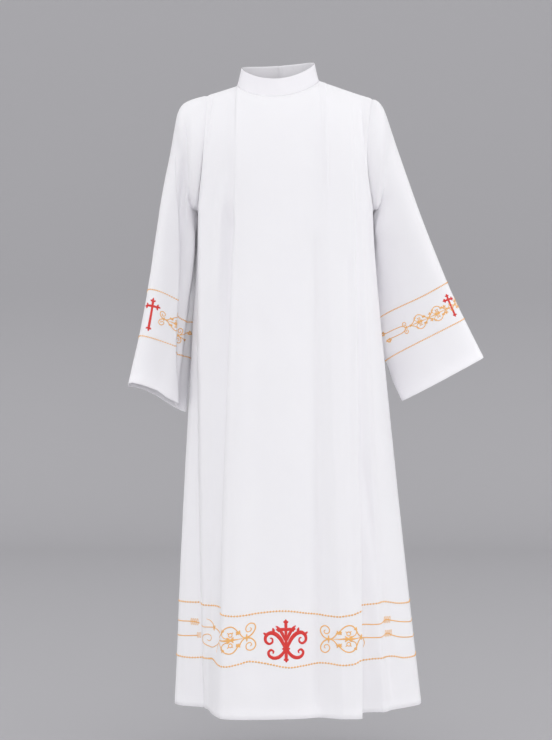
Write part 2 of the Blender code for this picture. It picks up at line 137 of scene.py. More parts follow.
# The cut and the hang of the robe, as the solids have it.
body = {
    "hemZ": -1.45, "chestZ": -0.30, "chestEase": 0.08, "curlPower": 4,
    "swellPeak": 27 / 4,      # part squared times 1 - part is at most 4 / 27
    "columnStep": 0.0040, "pleatColumns": 8, "skirtStep": 0.0105, "yokeRows": 38,
    "tuckPlaces": (0.0004, 0.0009, 0.0015, 0.0024),      # columns close to each side of a sewn tuck
    "softPasses": 8, "softMargin": 0.05, "tuckClear": 0.004,
}
neck = {"halfWidth": 0.095, "halfDepth": 0.076, "centreY": -0.003,
        "frontDrop": 0.044, "dropPower": 2.5, "backRise": 0.012, "tip": 0.06}
Armhole = namedtuple("Armhole", "topX topZ lowX lowZ bowX front back")
armholes = {
    "left": Armhole(-0.164, -0.030, -0.187, -0.30, 0.0045, 0.088, 0.080),
    "right": Armhole(0.220, -0.038, 0.222, -0.30, -0.017, 0.088, 0.080),
}
# The cloth hangs in lines from the shoulder or the neck to the hem. top counts along the upper edge:
# 0 to 1 on the first shoulder, 1 to 2 round the neck, 2 to 3 on the other shoulder.
Line = namedtuple("Line", "name top chestX chestY hemX hemY swell bow")
leftSeam = Line("left side seam", None, -0.187, 0.000, -0.171, -0.045, 0.000, -0.006)
rightSeam = Line("right side seam", None, 0.222, 0.000, 0.338, 0.036, 0.000, -0.003)
centreBack = Line("centre back", 1.50, 0.016, 0.110, 0.026, 0.171, 0.000, 0.000)
frontLines = (
    leftSeam,
    Line("left side", 0.22, -0.177, -0.094, -0.168, -0.056, 0.012, -0.004),
    Line("roll foot", 0.48, -0.142, -0.105, -0.160, -0.072, 0.018, 0.000),
    Line("roll rise", 0.75, -0.118, -0.109, -0.147, -0.122, 0.018, 0.000),
    Line("left tuck and roll crest", 1.00, -0.097, -0.120, -0.124, -0.164, 0.016, 0.000),
    Line("left front", 1.14, -0.066, -0.127, -0.085, -0.173, 0.008, 0.000),
    Line("left of the centre", 1.32, -0.022, -0.130, -0.024, -0.170, 0.003, 0.000),
    Line("centre", 1.50, 0.016, -0.129, 0.026, -0.165, 0.003, 0.000),
    Line("right of the centre", 1.68, 0.050, -0.127, 0.062, -0.158, 0.003, 0.000),
    Line("right trough", 1.86, 0.080, -0.124, 0.092, -0.148, 0.006, 0.000),
    Line("neck side", 2.00, 0.101, -0.125, 0.122, -0.157, 0.010, 0.000),
    Line("right tuck", 2.12, 0.114, -0.126, 0.148, -0.165, 0.014, 0.000),
    Line("right front", 2.35, 0.148, -0.122, 0.172, -0.165, 0.014, 0.002),
    Line("pleat edge", 2.52, 0.172, -0.117, 0.189, -0.159, 0.012, 0.003),
    Line("pleat lip", 2.55, 0.174, -0.1145, 0.1875, -0.154, 0.012, 0.003),
    Line("pleat under fold", 2.58, 0.176, -0.111, 0.163, -0.127, 0.012, 0.003),
    Line("pleat foot", 2.62, 0.179, -0.1085, 0.203, -0.098, 0.012, 0.003),
    Line("right side crest", 2.67, 0.189, -0.105, 0.240, -0.096, 0.010, 0.000),
    Line("right side crease", 2.71, 0.195, -0.101, 0.264, -0.071, 0.010, -0.002),
    Line("right side", 2.76, 0.203, -0.093, 0.292, -0.050, 0.008, -0.003),
    Line("right corner", None, 0.217, -0.048, 0.332, -0.010, 0.000, -0.003),
    rightSeam,
)
backRightLines = (
    rightSeam,
    Line("right back corner", 0.24, 0.205, 0.085, 0.322, 0.096, 0.006, -0.006),
    Line("first fold", 0.38, 0.184, 0.100, 0.283, 0.137, 0.010, 0.000),
    Line("first trough", 0.55, 0.158, 0.103, 0.241, 0.122, 0.012, 0.000),
    Line("second rise", 0.76, 0.130, 0.108, 0.203, 0.146, 0.010, 0.000),
    Line("second fold", 1.00, 0.102, 0.115, 0.161, 0.176, 0.006, 0.000),
    Line("second trough", 1.18, 0.072, 0.115, 0.115, 0.158, 0.004, 0.000),
    Line("beside the centre", 1.35, 0.042, 0.113, 0.066, 0.166, 0.002, 0.000),
    centreBack,
)
backLeftLines = (
    centreBack,
    Line("beside the centre", 1.66, -0.012, 0.114, -0.012, 0.169, 0.002, 0.000),
    Line("third trough", 1.82, -0.042, 0.115, -0.054, 0.155, 0.004, 0.000),
    Line("third fold", 2.00, -0.072, 0.115, -0.098, 0.177, 0.006, 0.000),
    Line("third rise", 2.30, -0.098, 0.108, -0.143, 0.150, 0.010, 0.000),
    Line("fourth trough", 2.52, -0.124, 0.101, -0.178, 0.117, 0.012, 0.000),
    Line("fourth fold", 2.70, -0.150, 0.096, -0.214, 0.101, 0.010, 0.000),
    Line("left back corner", 2.80, -0.170, 0.083, -0.237, 0.052, 0.006, -0.003),
    Line("left edge", None, -0.186, 0.030, -0.241, 0.000, 0.000, -0.005),
    Line("left turn", None, -0.1878, 0.014, -0.222, -0.026, 0.000, -0.006),
    leftSeam,
)
Ring = namedtuple("Ring", "outX outY outZ inX inY inZ front back")
sleeveRings = {
    "left": (
        Ring(-0.199, 0.000, -0.041, -0.1925, 0.000, -0.2915, 0.092, 0.084),
        Ring(-0.222, -0.002, -0.054, -0.1990, 0.008, -0.2900, 0.092, 0.084),
        Ring(-0.2335, -0.004, -0.075, -0.2020, 0.022, -0.2960, 0.088, 0.078),
        Ring(-0.2405, -0.006, -0.110, -0.2000, 0.042, -0.314, 0.082, 0.066),
        Ring(-0.253, -0.010, -0.180, -0.1950, 0.063, -0.350, 0.074, 0.054),
        Ring(-0.267, -0.015, -0.250, -0.1885, 0.079, -0.395, 0.070, 0.046),
        Ring(-0.284, -0.020, -0.350, -0.1920, 0.081, -0.460, 0.066, 0.044),
        Ring(-0.302, -0.026, -0.461, -0.2000, 0.077, -0.540, 0.064, 0.044),
        Ring(-0.320, -0.032, -0.565, -0.2060, 0.076, -0.625, 0.064, 0.044),
        Ring(-0.337, -0.036, -0.645, -0.2120, 0.074, -0.700, 0.064, 0.044),
        Ring(-0.351, -0.040, -0.709, -0.2190, 0.070, -0.772, 0.064, 0.044),
    ),
    "right": (
        Ring(0.232, 0.000, -0.045, 0.2275, 0.000, -0.2915, 0.092, 0.084),
        Ring(0.2425, 0.000, -0.057, 0.2330, 0.008, -0.2895, 0.092, 0.084),
        Ring(0.252, 0.000, -0.080, 0.2360, 0.022, -0.296, 0.088, 0.078),
        Ring(0.264, 0.000, -0.115, 0.2350, 0.042, -0.315, 0.080, 0.066),
        Ring(0.288, 0.000, -0.185, 0.2315, 0.063, -0.355, 0.072, 0.052),
        Ring(0.3125, 0.000, -0.254, 0.2290, 0.081, -0.405, 0.066, 0.042),
        Ring(0.343, 0.000, -0.336, 0.2345, 0.084, -0.470, 0.060, 0.036),
        Ring(0.375, 0.000, -0.416, 0.2430, 0.080, -0.540, 0.055, 0.034),
        Ring(0.410, 0.000, -0.500, 0.2530, 0.072, -0.620, 0.050, 0.034),
        Ring(0.4465, 0.000, -0.575, 0.2700, 0.056, -0.690, 0.044, 0.034),
        Ring(0.480, 0.000, -0.642, 0.2930, 0.036, -0.744, 0.038, 0.034),
    ),
}
# Each fold's angle and width in degrees, then how far it stands out near the shoulder and at the cuff.
sleeveFolds = {
    "left": ((118, 20, 0.004, 0.011), (152, 17, -0.007, -0.013),
             (245, 22, 0.002, 0.008), (212, 18, -0.008, -0.008)),
    "right": ((105, 24, 0.004, 0.003), (148, 20, -0.012, -0.003),
              (250, 24, 0.003, 0.004), (214, 20, -0.008, -0.004)),
}
sleeve = {"cuffTilt": {"left": 0.25, "right": 0.0}, "roundness": 0.85, "foldStart": 0.2, "foldGrowth": 4,
          "columns": 260, "rows": 112}


def unit(vectors):
    return vectors / np.maximum(np.linalg.norm(vectors, axis=-1, keepdims=True), 1e-12)


def walk(points):
    # the distance walked from the first point to each of the points in a row
    steps = np.linalg.norm(np.diff(points, axis=-2), axis=-1)
    return np.concatenate((np.zeros_like(steps[..., :1]), np.cumsum(steps, axis=-1)), axis=-1)


def between(here, there, start, end, part):
    # a cubic from here to there that leaves with slope start and arrives with slope end
    return (here * (1 + 2 * part) * (1 - part) ** 2 + there * part**2 * (3 - 2 * part)
            + start * part * (1 - part) ** 2 - end * part**2 * (1 - part))


def smoothThrough(places, values, wanted):
    # a curve through the values that never overshoots them
    places = np.asarray(places, float)
    values = np.asarray(values, float).reshape(len(places), -1)
    step = np.diff(places)[:, None]
    rate = np.diff(values, axis=0) / step
    slope = np.zeros_like(values)
    sameWay = rate[:-1] * rate[1:] > 0
    total = np.where(sameWay, rate[:-1] + rate[1:], 1.0)
    slope[1:-1] = np.where(sameWay, 2 * rate[:-1] * rate[1:] / total, 0)
    slope[0], slope[-1] = rate[0], rate[-1]
    index = np.clip(np.searchsorted(places, wanted, side="right") - 1, 0, len(places) - 2)
    part = ((wanted - places[index]) / step[index, 0])[:, None]
    start, end = slope[index] * step[index], slope[index + 1] * step[index]
    return between(values[index], values[index + 1], start, end, part)


def easeStep(value, low, high):
    # 0 below low, 1 above high, with a soft start and end
    part = np.clip((value - low) / (high - low), 0, 1)
    return part * part * (3 - 2 * part)


def neckline(turn):
    x = neck["halfWidth"] * sin(turn)
    y = neck["centreY"] - neck["halfDepth"] * cos(turn)
    fall = -neck["frontDrop"] * ((1 + cos(turn)) / 2) ** neck["dropPower"]
    rise = neck["backRise"] * (1 - cos(turn)) / 2
    return np.array((x, y, fall + rise + neck["tip"] * x))


def armholePoint(side, part, face):
    hole = armholes[side]
    x = hole.lowX + (hole.topX - hole.lowX) * part + hole.bowX * 4 * part * (1 - part)
    depth = -hole.front if face == "front" else hole.back
    y = depth * 2 * sqrt(max(part * (1 - part), 0))
    return np.array((x, y, hole.lowZ + (hole.topZ - hole.lowZ) * part))


def upperEdge(place, face):
    first, second = ("left", "right") if face == "front" else ("right", "left")
    sideTurn = -pi / 2 if face == "front" else pi / 2
    if 1 <= place <= 2:
        return neckline(sideTurn + (place - 1) * pi)
    side, along = (first, place) if place < 1 else (second, 3 - place)
    foot = neckline(-pi / 2 if side == "left" else pi / 2)
    return armholePoint(side, 1, face) * (1 - along) + foot * along


def columnsOf(lines):
    # places along the row of lines, closer together where the cloth turns tightly
    places = [0.0]
    for index, (line, after) in enumerate(zip(lines, lines[1:])):
        atHem = hypot(after.hemX - line.hemX, after.hemY - line.hemY)
        atChest = hypot(after.chestX - line.chestX, after.chestY - line.chestY)
        steps = max(2, ceil(max(atHem, atChest) / body["columnStep"]))
        if "pleat edge" in (line.name, after.name) or line.name == "pleat lip":
            steps = max(body["pleatColumns"], steps)
        places += [index + step / steps for step in range(1, steps + 1)]
        for near, tuck in ((0, line.name), (1, after.name)):
            if "tuck" in tuck:
                places += [index + abs(near - gap / atChest) for gap in body["tuckPlaces"]]
    return np.unique(np.round(places, 6))


class Cloth:
    # a grid of points on the middle of the cloth: rows run across it, columns run up from its free edge

    def __init__(self, points, closed=False):
        self.points = np.asarray(points, float)
        self.closed = closed
        self.outward = 1      # -1 where the rows run the other way round
        self.measure()

    def turnNormals(self):
        grid = self.points
        if self.closed:
            across = np.roll(grid, -1, axis=1) - np.roll(grid, 1, axis=1)
        else:
            across = np.gradient(grid, axis=1)
        self.normals = unit(np.cross(across, np.gradient(grid, axis=0)) * self.outward)

    def measure(self):
        self.turnNormals()
        grid = self.points
        up = np.linalg.norm(np.diff(grid, axis=0), axis=2)
        self.height = np.vstack((np.zeros(grid.shape[1]), np.cumsum(up, axis=0)))      # above the free edge
        self.around = walk(np.concatenate((grid, grid[:, :1]), axis=1) if self.closed else grid)

    def countFrom(self, column):
        # distances round the cloth are counted from this column, both ways
        self.around = self.around - self.around[:, column:column + 1]

    def reach(self, height):
        # how far the cloth goes, both ways, at a height above its free edge
        levels = self.height.mean(axis=1)
        return np.interp(height, levels, self.around[:, 0]), np.interp(height, levels, self.around[:, -1])

    def place(self, around, height, rows=60):
        # points and outward directions at distances round the cloth and above its free edge
        around, height = np.asarray(around, float), np.asarray(height, float)
        rows = min(rows, len(self.points))
        grid, normals, heights = self.points, self.normals, self.height
        if self.closed:
            grid, normals = (np.concatenate((a, a[:, :1]), axis=1) for a in (grid, normals))
            heights = np.concatenate((heights, heights[:, :1]), axis=1)
        count = grid.shape[1]
        index = np.arange(count)
        column = np.array([np.interp(around, self.around[row], index) for row in range(rows)])
        level = np.array([np.interp(column[row], index, heights[row]) for row in range(rows)])
        low = np.clip((level <= height).sum(axis=0) - 1, 0, rows - 2)
        pick = np.arange(len(around))
        below, above = level[low, pick], level[low + 1, pick]
        part = ((height - below) / np.maximum(above - below, 1e-9))[:, None]

        def at(values, row):
            left = np.clip(np.floor(column[row, pick]).astype(int), 0, count - 2)
            share = (column[row, pick] - left)[:, None]
            return values[row, left] * (1 - share) + values[row, left + 1] * share

        point = at(grid, low) * (1 - part) + at(grid, low + 1) * part
        out = at(normals, low) * (1 - part) + at(normals, low + 1) * part
        return point, unit(out)


def skirtRow(chest, hem, bow, fall):
    # fall is 0 at the chest and 1 at the hem
    flat = chest + (hem - chest) * fall**2 / (fall + body["chestEase"]) * (1 + body["chestEase"])
    flat[:, 0] += bow * 4 * fall * (1 - fall)
    level = body["chestZ"] + (body["hemZ"] - body["chestZ"]) * fall
    return np.column_stack((flat, np.full(len(chest), level)))


def yokeRow(chest, top, swell, part):
    # part is 0 at the chest and 1 at the upper edge
    keep = sqrt(1 - part**2)
    row = np.empty((len(chest), 3))
    row[:, 0] = chest[:, 0] + (top[:, 0] - chest[:, 0]) * part
    row[:, 1] = chest[:, 1] * keep + top[:, 1] * (1 - keep)
    row[:, 1] += swell * body["swellPeak"] * part**2 * (1 - part)
    row[:, 2] = body["chestZ"] + (top[:, 2] - body["chestZ"]) * part
    return row


def meetArmhole(row, chest, walked, hole, holeLow, part, end, lastFree):
    # from the last free column to the column at the end, the row bends to meet the armhole
    lowFree = np.array((*chest[lastFree], body["chestZ"]))
    for index in range(min(end, lastFree), max(end, lastFree) + 1):
        share = (walked[index] - walked[end]) / (walked[lastFree] - walked[end])
        bent = np.array((*chest[index], body["chestZ"])) - (holeLow * (1 - share) + lowFree * share)
        curl = bent * (1 - part) ** body["curlPower"]
        row[index] = hole * (1 - share) + row[lastFree] * share + curl


def bodyGrid(lines, face):
    stations = np.arange(len(lines), dtype=float)
    columns = columnsOf(lines)
    chest = smoothThrough(stations, [(line.chestX, line.chestY) for line in lines], columns)
    hem = smoothThrough(stations, [(line.hemX, line.hemY) for line in lines], columns)
    swell = smoothThrough(stations, [line.swell for line in lines], columns)[:, 0]
    bow = smoothThrough(stations, [line.bow for line in lines], columns)[:, 0]
    free = [index for index, line in enumerate(lines) if line.top is not None]
    tops = np.interp(columns, free, [lines[index].top for index in free])
    topPoints = np.array([upperEdge(top, face) for top in tops])
    forward = -1 if face == "front" else 1
    holes = []      # each armhole's side, the column at its edge and the last column that hangs free
    for freeLine, line, end in ((free[0], 0, 0), (free[-1], len(lines) - 1, len(columns) - 1)):
        if freeLine != line:
            side = "left" if lines[line].chestX < 0 else "right"
            holes.append((side, end, int(np.argmin(np.abs(columns - freeLine)))))
    skirtRows = ceil((body["chestZ"] - body["hemZ"]) / body["skirtStep"])
    rows = [skirtRow(chest, hem, bow, step / skirtRows) for step in range(skirtRows, 0, -1)]
    walked = walk(chest)
    for step in range(body["yokeRows"] + 1):
        part = (1 - cos(pi * step / body["yokeRows"])) / 2
        row = yokeRow(chest, topPoints, forward * swell, part)
        for side, end, lastFree in holes:
            hole, holeLow = armholePoint(side, part, face), armholePoint(side, 0, face)
            meetArmhole(row, chest, walked, hole, holeLow, part, end, lastFree)
        rows.append(row)
    return np.array(rows), columns


def soften(grid):
    # rounds the rows into each other, but leaves the sewn edges where they are
    soft = grid.copy()
    for _ in range(body["softPasses"]):
        soft[1:-1] = soft[:-2] / 4 + soft[1:-1] / 2 + soft[2:] / 4
    walked = walk(grid)
    edge = np.minimum(walked, walked[:, -1:] - walked)
    share = easeStep(edge, 0, body["softMargin"])[:, :, None]
    return grid * (1 - share) + soft * share


def sleeveGrid(side):
    count = sleeve["columns"]
    angles = -pi + 2 * pi * np.arange(count) / count      # 0 is the outer line, the front is positive
    rings = sleeveRings[side]
    faces = ["front" if angle >= 0 else "back" for angle in angles]
    grid = [[armholePoint(side, (1 + cos(angle)) / 2, face) for angle, face in zip(angles, faces)]]
    for index, ring in enumerate(rings):
        along = (index + 1) / len(rings)
        begun = min(max((along - sleeve["foldStart"]) * sleeve["foldGrowth"], 0), 1)
        outer = np.array((ring.outX, ring.outY, ring.outZ))
        inner = np.array((ring.inX, ring.inY, ring.inZ))
        middle, half = (outer + inner) / 2, (outer - inner) / 2
        row = []
        for angle in angles:
            depth = -ring.front if angle >= 0 else ring.back
            spot = middle + half * cos(angle)
            spot[1] += depth * abs(sin(angle)) ** sleeve["roundness"]
            spot[2] -= sleeve["cuffTilt"][side] * along**2 * (spot[1] - middle[1] - half[1] * cos(angle))
            away = unit(spot - middle)
            for foldAngle, width, nearShoulder, atCuff in sleeveFolds[side]:
                gap = (angle % (2 * pi) - radians(foldAngle)) / radians(width)
                size = nearShoulder + (atCuff - nearShoulder) * along
                spot = spot + away * size * begun * np.exp(-gap**2)
            row.append(spot)
        grid.append(row)
    grid = np.array(grid)
    gaps = np.linalg.norm(np.diff(grid, axis=0), axis=2).mean(axis=1)
    walked = np.r_[0, np.cumsum(gaps)]
    wanted = np.linspace(0, walked[-1], sleeve["rows"] + 1)
    dense = smoothThrough(walked, grid.reshape(len(grid), -1), wanted)
    return dense.reshape(len(wanted), count, 3)[::-1]      # from the cuff up to the armhole


# A crease follows a path over the front view, or over the back view, as (x, z) points. height is how far
# it stands out (or in, below 0), and left and right are its widths to each side of the path.
Crease = namedtuple("Crease", "path height left right")
# A tuck is folded and pressed along one hanging line, from the shoulder down to lowZ. It stands out by
# height at its fold, which drops away within sharp on one side (-1 is left) and within soft on the other.
Tuck = namedtuple("Tuck", "line lowZ height side sharp soft")


def creaseLift(points, creases, fade=0.05):
    lift = np.zeros(points.shape[:2])
    x, z = points[:, :, 0], points[:, :, 2]
    for crease in creases:
        path = np.array(sorted(crease.path, key=lambda spot: spot[1]))
        gap = x - np.interp(z, path[:, 1], path[:, 0])
        shape = np.exp(-(gap / np.where(gap < 0, crease.left, crease.right)) ** 2)
        low, high = path[0, 1], path[-1, 1]
        shape *= easeStep(z, low - fade / 2, low + fade) * easeStep(-z, -high - fade / 2, -high + fade)
        lift += crease.height * shape
    return lift


def columnAt(name, lines, columns):
    # the column that runs down the line of this name
    return int(np.argmin(np.abs(columns - [line.name for line in lines].index(name))))


def tuckLift(cloth, lines, columns, tucks, fade=0.09):
    lift = np.zeros(cloth.points.shape[:2])
    for tuck in tucks:
        column = columnAt(tuck.line, lines, columns)
        gap = (cloth.around - cloth.around[:, column:column + 1]) * tuck.side
        shape = np.where(gap > 0, np.clip(1 - gap / tuck.sharp, 0, 1), np.exp(gap / tuck.soft))
        lift += tuck.height * shape * easeStep(cloth.points[:, :, 2], tuck.lowZ, tuck.lowZ + fade)
    return lift


# A fold lies over itself along a line that crosses the front view at the path's (x, z) points. Its lip goes
# over by over and stands out by rise; the cloth is drawn along from before, and goes back within after.
# It begins at the first level of fade and is full at the second.
Fold = namedtuple("Fold", "path over rise before after fade")


def foldOver(cloth, fold):
    points = cloth.points
    count = points.shape[1]
    around = cloth.around[:, :count]
    path = np.array(sorted(fold.path, key=lambda spot: spot[1]))
    front = np.nonzero(around[0] >= 0)[0]
    start = []
    for row in range(len(points)):
        reached = points[row, front, 0] >= np.interp(points[row, front, 2], path[:, 1], path[:, 0])
        start.append(around[row, front[int(np.argmax(reached))]])
    levels = np.arange(len(points)) / len(points)      # the crossings are evened out by a cubic
    start = np.polyval(np.polyfit(levels, start, 3), levels)[:, None]
    gap = around - start
    shape = np.where(gap < 0, np.exp(-(gap / fold.before) ** 2), 1 - easeStep(gap, 0, fold.after))
    shape = shape * easeStep(-points[:, :, 2], -fold.fade[0], -fold.fade[1])
    along = unit(np.roll(points, -1, axis=1) - np.roll(points, 1, axis=1))
    cloth.points = points + (along * fold.over + cloth.normals * fold.rise) * shape[:, :, None]
    cloth.turnNormals()


unevenness = 0.0006


def waver(points):
    # slight unevenness of hanging cloth
    x, y, z = points[:, :, 0], points[:, :, 1], points[:, :, 2]
    return unevenness * (np.sin(21 * x + 5 * z + 0.7) * np.sin(7.3 * z + 9 * y + 1.1)
                         + 0.6 * np.sin(43 * x - 11 * z + 2.3) * np.cos(13 * z - 17 * y)
                         + 0.35 * np.sin(90 * x + 24 * z) * np.sin(29 * z + 31 * y + 0.4))


seam = {"depth": 0.0016, "width": 0.0034, "still": 0.002, "free": 0.03}


def calmBy(gap):
    # nothing is lifted at a seam, and the cloth is free a little way from it
    return easeStep(gap, seam["still"], seam["free"])


def seamLift(cloth, edges):
    # the cloth dips towards each sewn edge
    gaps = {"top": cloth.height[-1:] - cloth.height,
            "first": (cloth.around - cloth.around[:, :1])[:, :cloth.points.shape[1]],
            "last": (cloth.around[:, -1:] - cloth.around)[:, :cloth.points.shape[1]]}
    return -seam["depth"] * sum(np.exp(-(gaps[edge] / seam["width"]) ** 2) for edge in edges)


print("alb: materials")
# threads is threads per metre; weave, ripple, twist and grain are depths of relief in metres, and relief
# is its strength.
clothLook = {"light": (0.890, 0.880, 0.905), "dark": (0.872, 0.862, 0.890), "roughness": 0.72,
             "shine": 0.3, "sheen": 0.10, "sheenSpread": 0.5, "through": 0.35, "throughScale": 0.003,
             "threads": 2000, "wobble": 0.6, "weave": 0.00003, "relief": 0.6,
             "patches": 7.0, "ripples": 26.0, "ripple": 0.00025}
# The collar is the body's own cloth painted darker, as painted shade on the collar. It is a little smoother
# as well.
shadedCollarLook = dict(clothLook, light=(0.815, 0.803, 0.828), dark=(0.790, 0.778, 0.805), roughness=0.66)
# In the thread looks, light is the thread's own colour and dark is painted shade, laid in the grooves
# between the threads.
goldLook = {"light": (0.88, 0.49, 0.155), "dark": (0.68, 0.31, 0.075), "lightFrom": 0.4,
            "roughness": 0.40, "sheen": 0.1, "threads": 2600, "wobble": 1.2, "twist": 0.0001, "relief": 0.5}
redLook = dict(goldLook, light=(0.72, 0.020, 0.014), dark=(0.46, 0.008, 0.008), roughness=0.42)
whiteLook = dict(goldLook, light=(0.88, 0.87, 0.90), dark=(0.74, 0.73, 0.77), roughness=0.5, threads=2200)
wavesPerUnit = 20 / (2 * pi)      # Blender's wave texture repeats this often at scale 1


def newMaterial(name):
    made = bpy.data.materials.new(name)
    made.use_nodes = True
    return made, made.node_tree, made.node_tree.nodes["Principled BSDF"]


def node(tree, kind, inputs=(), **settings):
    made = tree.nodes.new(kind)
    for key, value in settings.items():
        setattr(made, key, value)
    for key, value in dict(inputs).items():
        if isinstance(value, bpy.types.NodeSocket):
            tree.links.new(value, made.inputs[key])
        else:
            made.inputs[key].default_value = value
    return made


def twoTone(tree, factor, look):
    # dark where the factor is 0, light where it is 1
    colours = {0: factor, 6: (*look["dark"], 1), 7: (*look["light"], 1)}
    return node(tree, "ShaderNodeMix", colours, data_type="RGBA").outputs[2]


def bump(tree, height, strength, distance, **under):
    inputs = {"Height": height, "Strength": strength, "Distance": distance, **under}
    return node(tree, "ShaderNodeBump", inputs).outputs["Normal"]


def setShader(tree, shader, linked, values):
    for name, socket in linked.items():
        tree.links.new(socket, shader.inputs[name])
    for name, value in values.items():
        shader.inputs[name].default_value = value


def stripes(tree, place, look, direction):
    inputs = {"Vector": place, "Scale": look["threads"] / wavesPerUnit, "Distortion": look["wobble"],
              "Detail": 1.0}
    return node(tree, "ShaderNodeTexWave", inputs, bands_direction=direction).outputs["Fac"]


def clothMaterial(name, look):
    made, tree, shader = newMaterial(name)
    place = node(tree, "ShaderNodeUVMap", uv_map="clothUv").outputs["UV"]
    space = node(tree, "ShaderNodeTexCoord").outputs["Object"]
    warp, weft = (stripes(tree, place, look, direction) for direction in ("X", "Y"))
    weave = node(tree, "ShaderNodeMath", {0: warp, 1: weft}, operation="ADD").outputs[0]
    patches = node(tree, "ShaderNodeTexNoise", {"Vector": space, "Scale": look["patches"], "Detail": 3.0})
    ripples = node(tree, "ShaderNodeTexNoise", {"Vector": space, "Scale": look["ripples"], "Detail": 2.0})
    soft = bump(tree, ripples.outputs["Fac"], 1.0, look["ripple"])
    fine = bump(tree, weave, look["relief"], look["weave"], Normal=soft)
    setShader(tree, shader, {"Base Color": twoTone(tree, patches.outputs["Fac"], look), "Normal": fine}, {
        "Roughness": look["roughness"], "Specular IOR Level": look["shine"],
        "Sheen Weight": look["sheen"], "Sheen Roughness": look["sheenSpread"],
        "Subsurface Weight": look["through"], "Subsurface Scale": look["throughScale"],
        "Subsurface Radius": (1, 1, 1),      # thin cloth lets light through
    })
    return made


def threadMaterial(name, look):
    # satin stitches: the threads lie across each stroke, side by side along it
    made, tree, shader = newMaterial(name)
    place = node(tree, "ShaderNodeUVMap", uv_map="threadUv").outputs["UV"]
    threads = stripes(tree, place, look, "X")
    # painted shade: darker towards each groove between the threads, and the thread's own colour from
    # lightFrom on
    threadColourAndGrooveShade = node(tree, "ShaderNodeValToRGB", {"Fac": threads})
    threadColourAndGrooveShade.color_ramp.elements[0].color = (*look["dark"], 1)
    threadColourAndGrooveShade.color_ramp.elements[1].color = (*look["light"], 1)
    threadColourAndGrooveShade.color_ramp.elements[1].position = look["lightFrom"]
    twist = bump(tree, threads, look["relief"], look["twist"])
    setShader(tree, shader, {"Base Color": threadColourAndGrooveShade.outputs["Color"], "Normal": twist},
              {"Roughness": look["roughness"], "Sheen Weight": look["sheen"]})
    return made


whiteCloth = clothMaterial("whiteCloth", clothLook)
collarClothPaintedShade = clothMaterial("collarClothPaintedShade", shadedCollarLook)
goldThread = threadMaterial("goldThread", goldLook)
redThread = threadMaterial("redThread", redLook)
whiteThread = threadMaterial("whiteThread", whiteLook)

# The hem and the cuffs are turned up inside, so they are thicker by hemExtra within hemDepth of the edge.
shell = {"wall": 0.0008, "hemDepth": 0.027, "hemSoft": 0.0015, "hemExtra": 0.0007, "sharpAngle": 60}


def addObject(name, vertices, faces, material, uvName, uv, sharpAngle):
    mesh = bpy.data.meshes.new(name)
    mesh.from_pydata(vertices.tolist(), [], faces)
    layer = mesh.uv_layers.new(name=uvName)
    corner = np.empty(len(mesh.loops), np.int32)
    mesh.loops.foreach_get("vertex_index", corner)
    layer.data.foreach_set("uv", uv[corner].ravel())
    mesh.shade_smooth()
    mesh.set_sharp_from_angle(angle=radians(sharpAngle))
    mesh.materials.append(material)
    made = newObject(name, mesh)
    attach(made, "root")
    print("  ", name, len(mesh.polygons), "faces")
    return made


def wallFaces(rows, count, closed):
    # the outer points come first, then the inner ones, then those along the fold at the free edge
    total = rows * count
    column = np.arange(count if closed else count - 1)
    after = (column + 1) % count
    quads = []
    for row in range(rows - 1):
        a, b = row * count + column, row * count + after
        quads.append(np.column_stack((a, b, b + count, a + count)))
        quads.append(np.column_stack((a + total, a + count + total, b + count + total, b + total)))
    edge, edgeAfter = 2 * total + column, 2 * total + after
    quads.append(np.column_stack((edge, edgeAfter, after, column)))
    quads.append(np.column_stack((column + total, after + total, edgeAfter, edge)))
    high, highAfter = column + (rows - 1) * count, after + (rows - 1) * count
    quads.append(np.column_stack((high, highAfter, highAfter + total, high + total)))
    faces = [tuple(quad) for quad in np.vstack(quads).tolist()]
    if not closed:
        for first in range(0, (rows - 1) * count, count):
            last = first + count - 1
            faces.append((first, first + count, first + count + total, first + total))
            faces.append((last + count, last, last + total, last + count + total))
        faces.append((0, total, 2 * total))
        faces.append((count - 1, 2 * total + count - 1, total + count - 1))
    return faces


def wallMesh(name, cloth, outerHalf, innerHalf, material):
    # outer face, inner face and the strips between them; the free edge is a rounded fold
    grid, normals = cloth.points, cloth.normals
    rows, count = grid.shape[:2]
    outer = (grid + normals * outerHalf[:, :, None]).reshape(-1, 3)
    inner = (grid - normals * innerHalf[:, :, None]).reshape(-1, 3)
    down = unit(grid[0] - grid[1])
    fold = (outer[:count] + inner[:count]) / 2 + down * (outerHalf[0] + innerHalf[0])[:, None] / 2
    faces = wallFaces(rows, count, cloth.closed)
    if cloth.outward < 0:
        faces = [face[::-1] for face in faces]
    flat = np.column_stack((cloth.around[:, :count].reshape(-1), cloth.height.reshape(-1)))
    uv = np.vstack((flat, flat, flat[:count]))
    return addObject(name, np.vstack((outer, inner, fold)), faces, material, "clothUv", uv,
                     shell["sharpAngle"])


def clothPiece(name, cloth, material, cadNode):
    outerHalf = np.full(cloth.points.shape[:2], shell["wall"] / 2)
    turned = easeStep(-cloth.height, -shell["hemDepth"], -shell["hemDepth"] + shell["hemSoft"])
    made = wallMesh(name, cloth, outerHalf, outerHalf + shell["hemExtra"] * turned, material)
    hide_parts(cadNode)
    return made


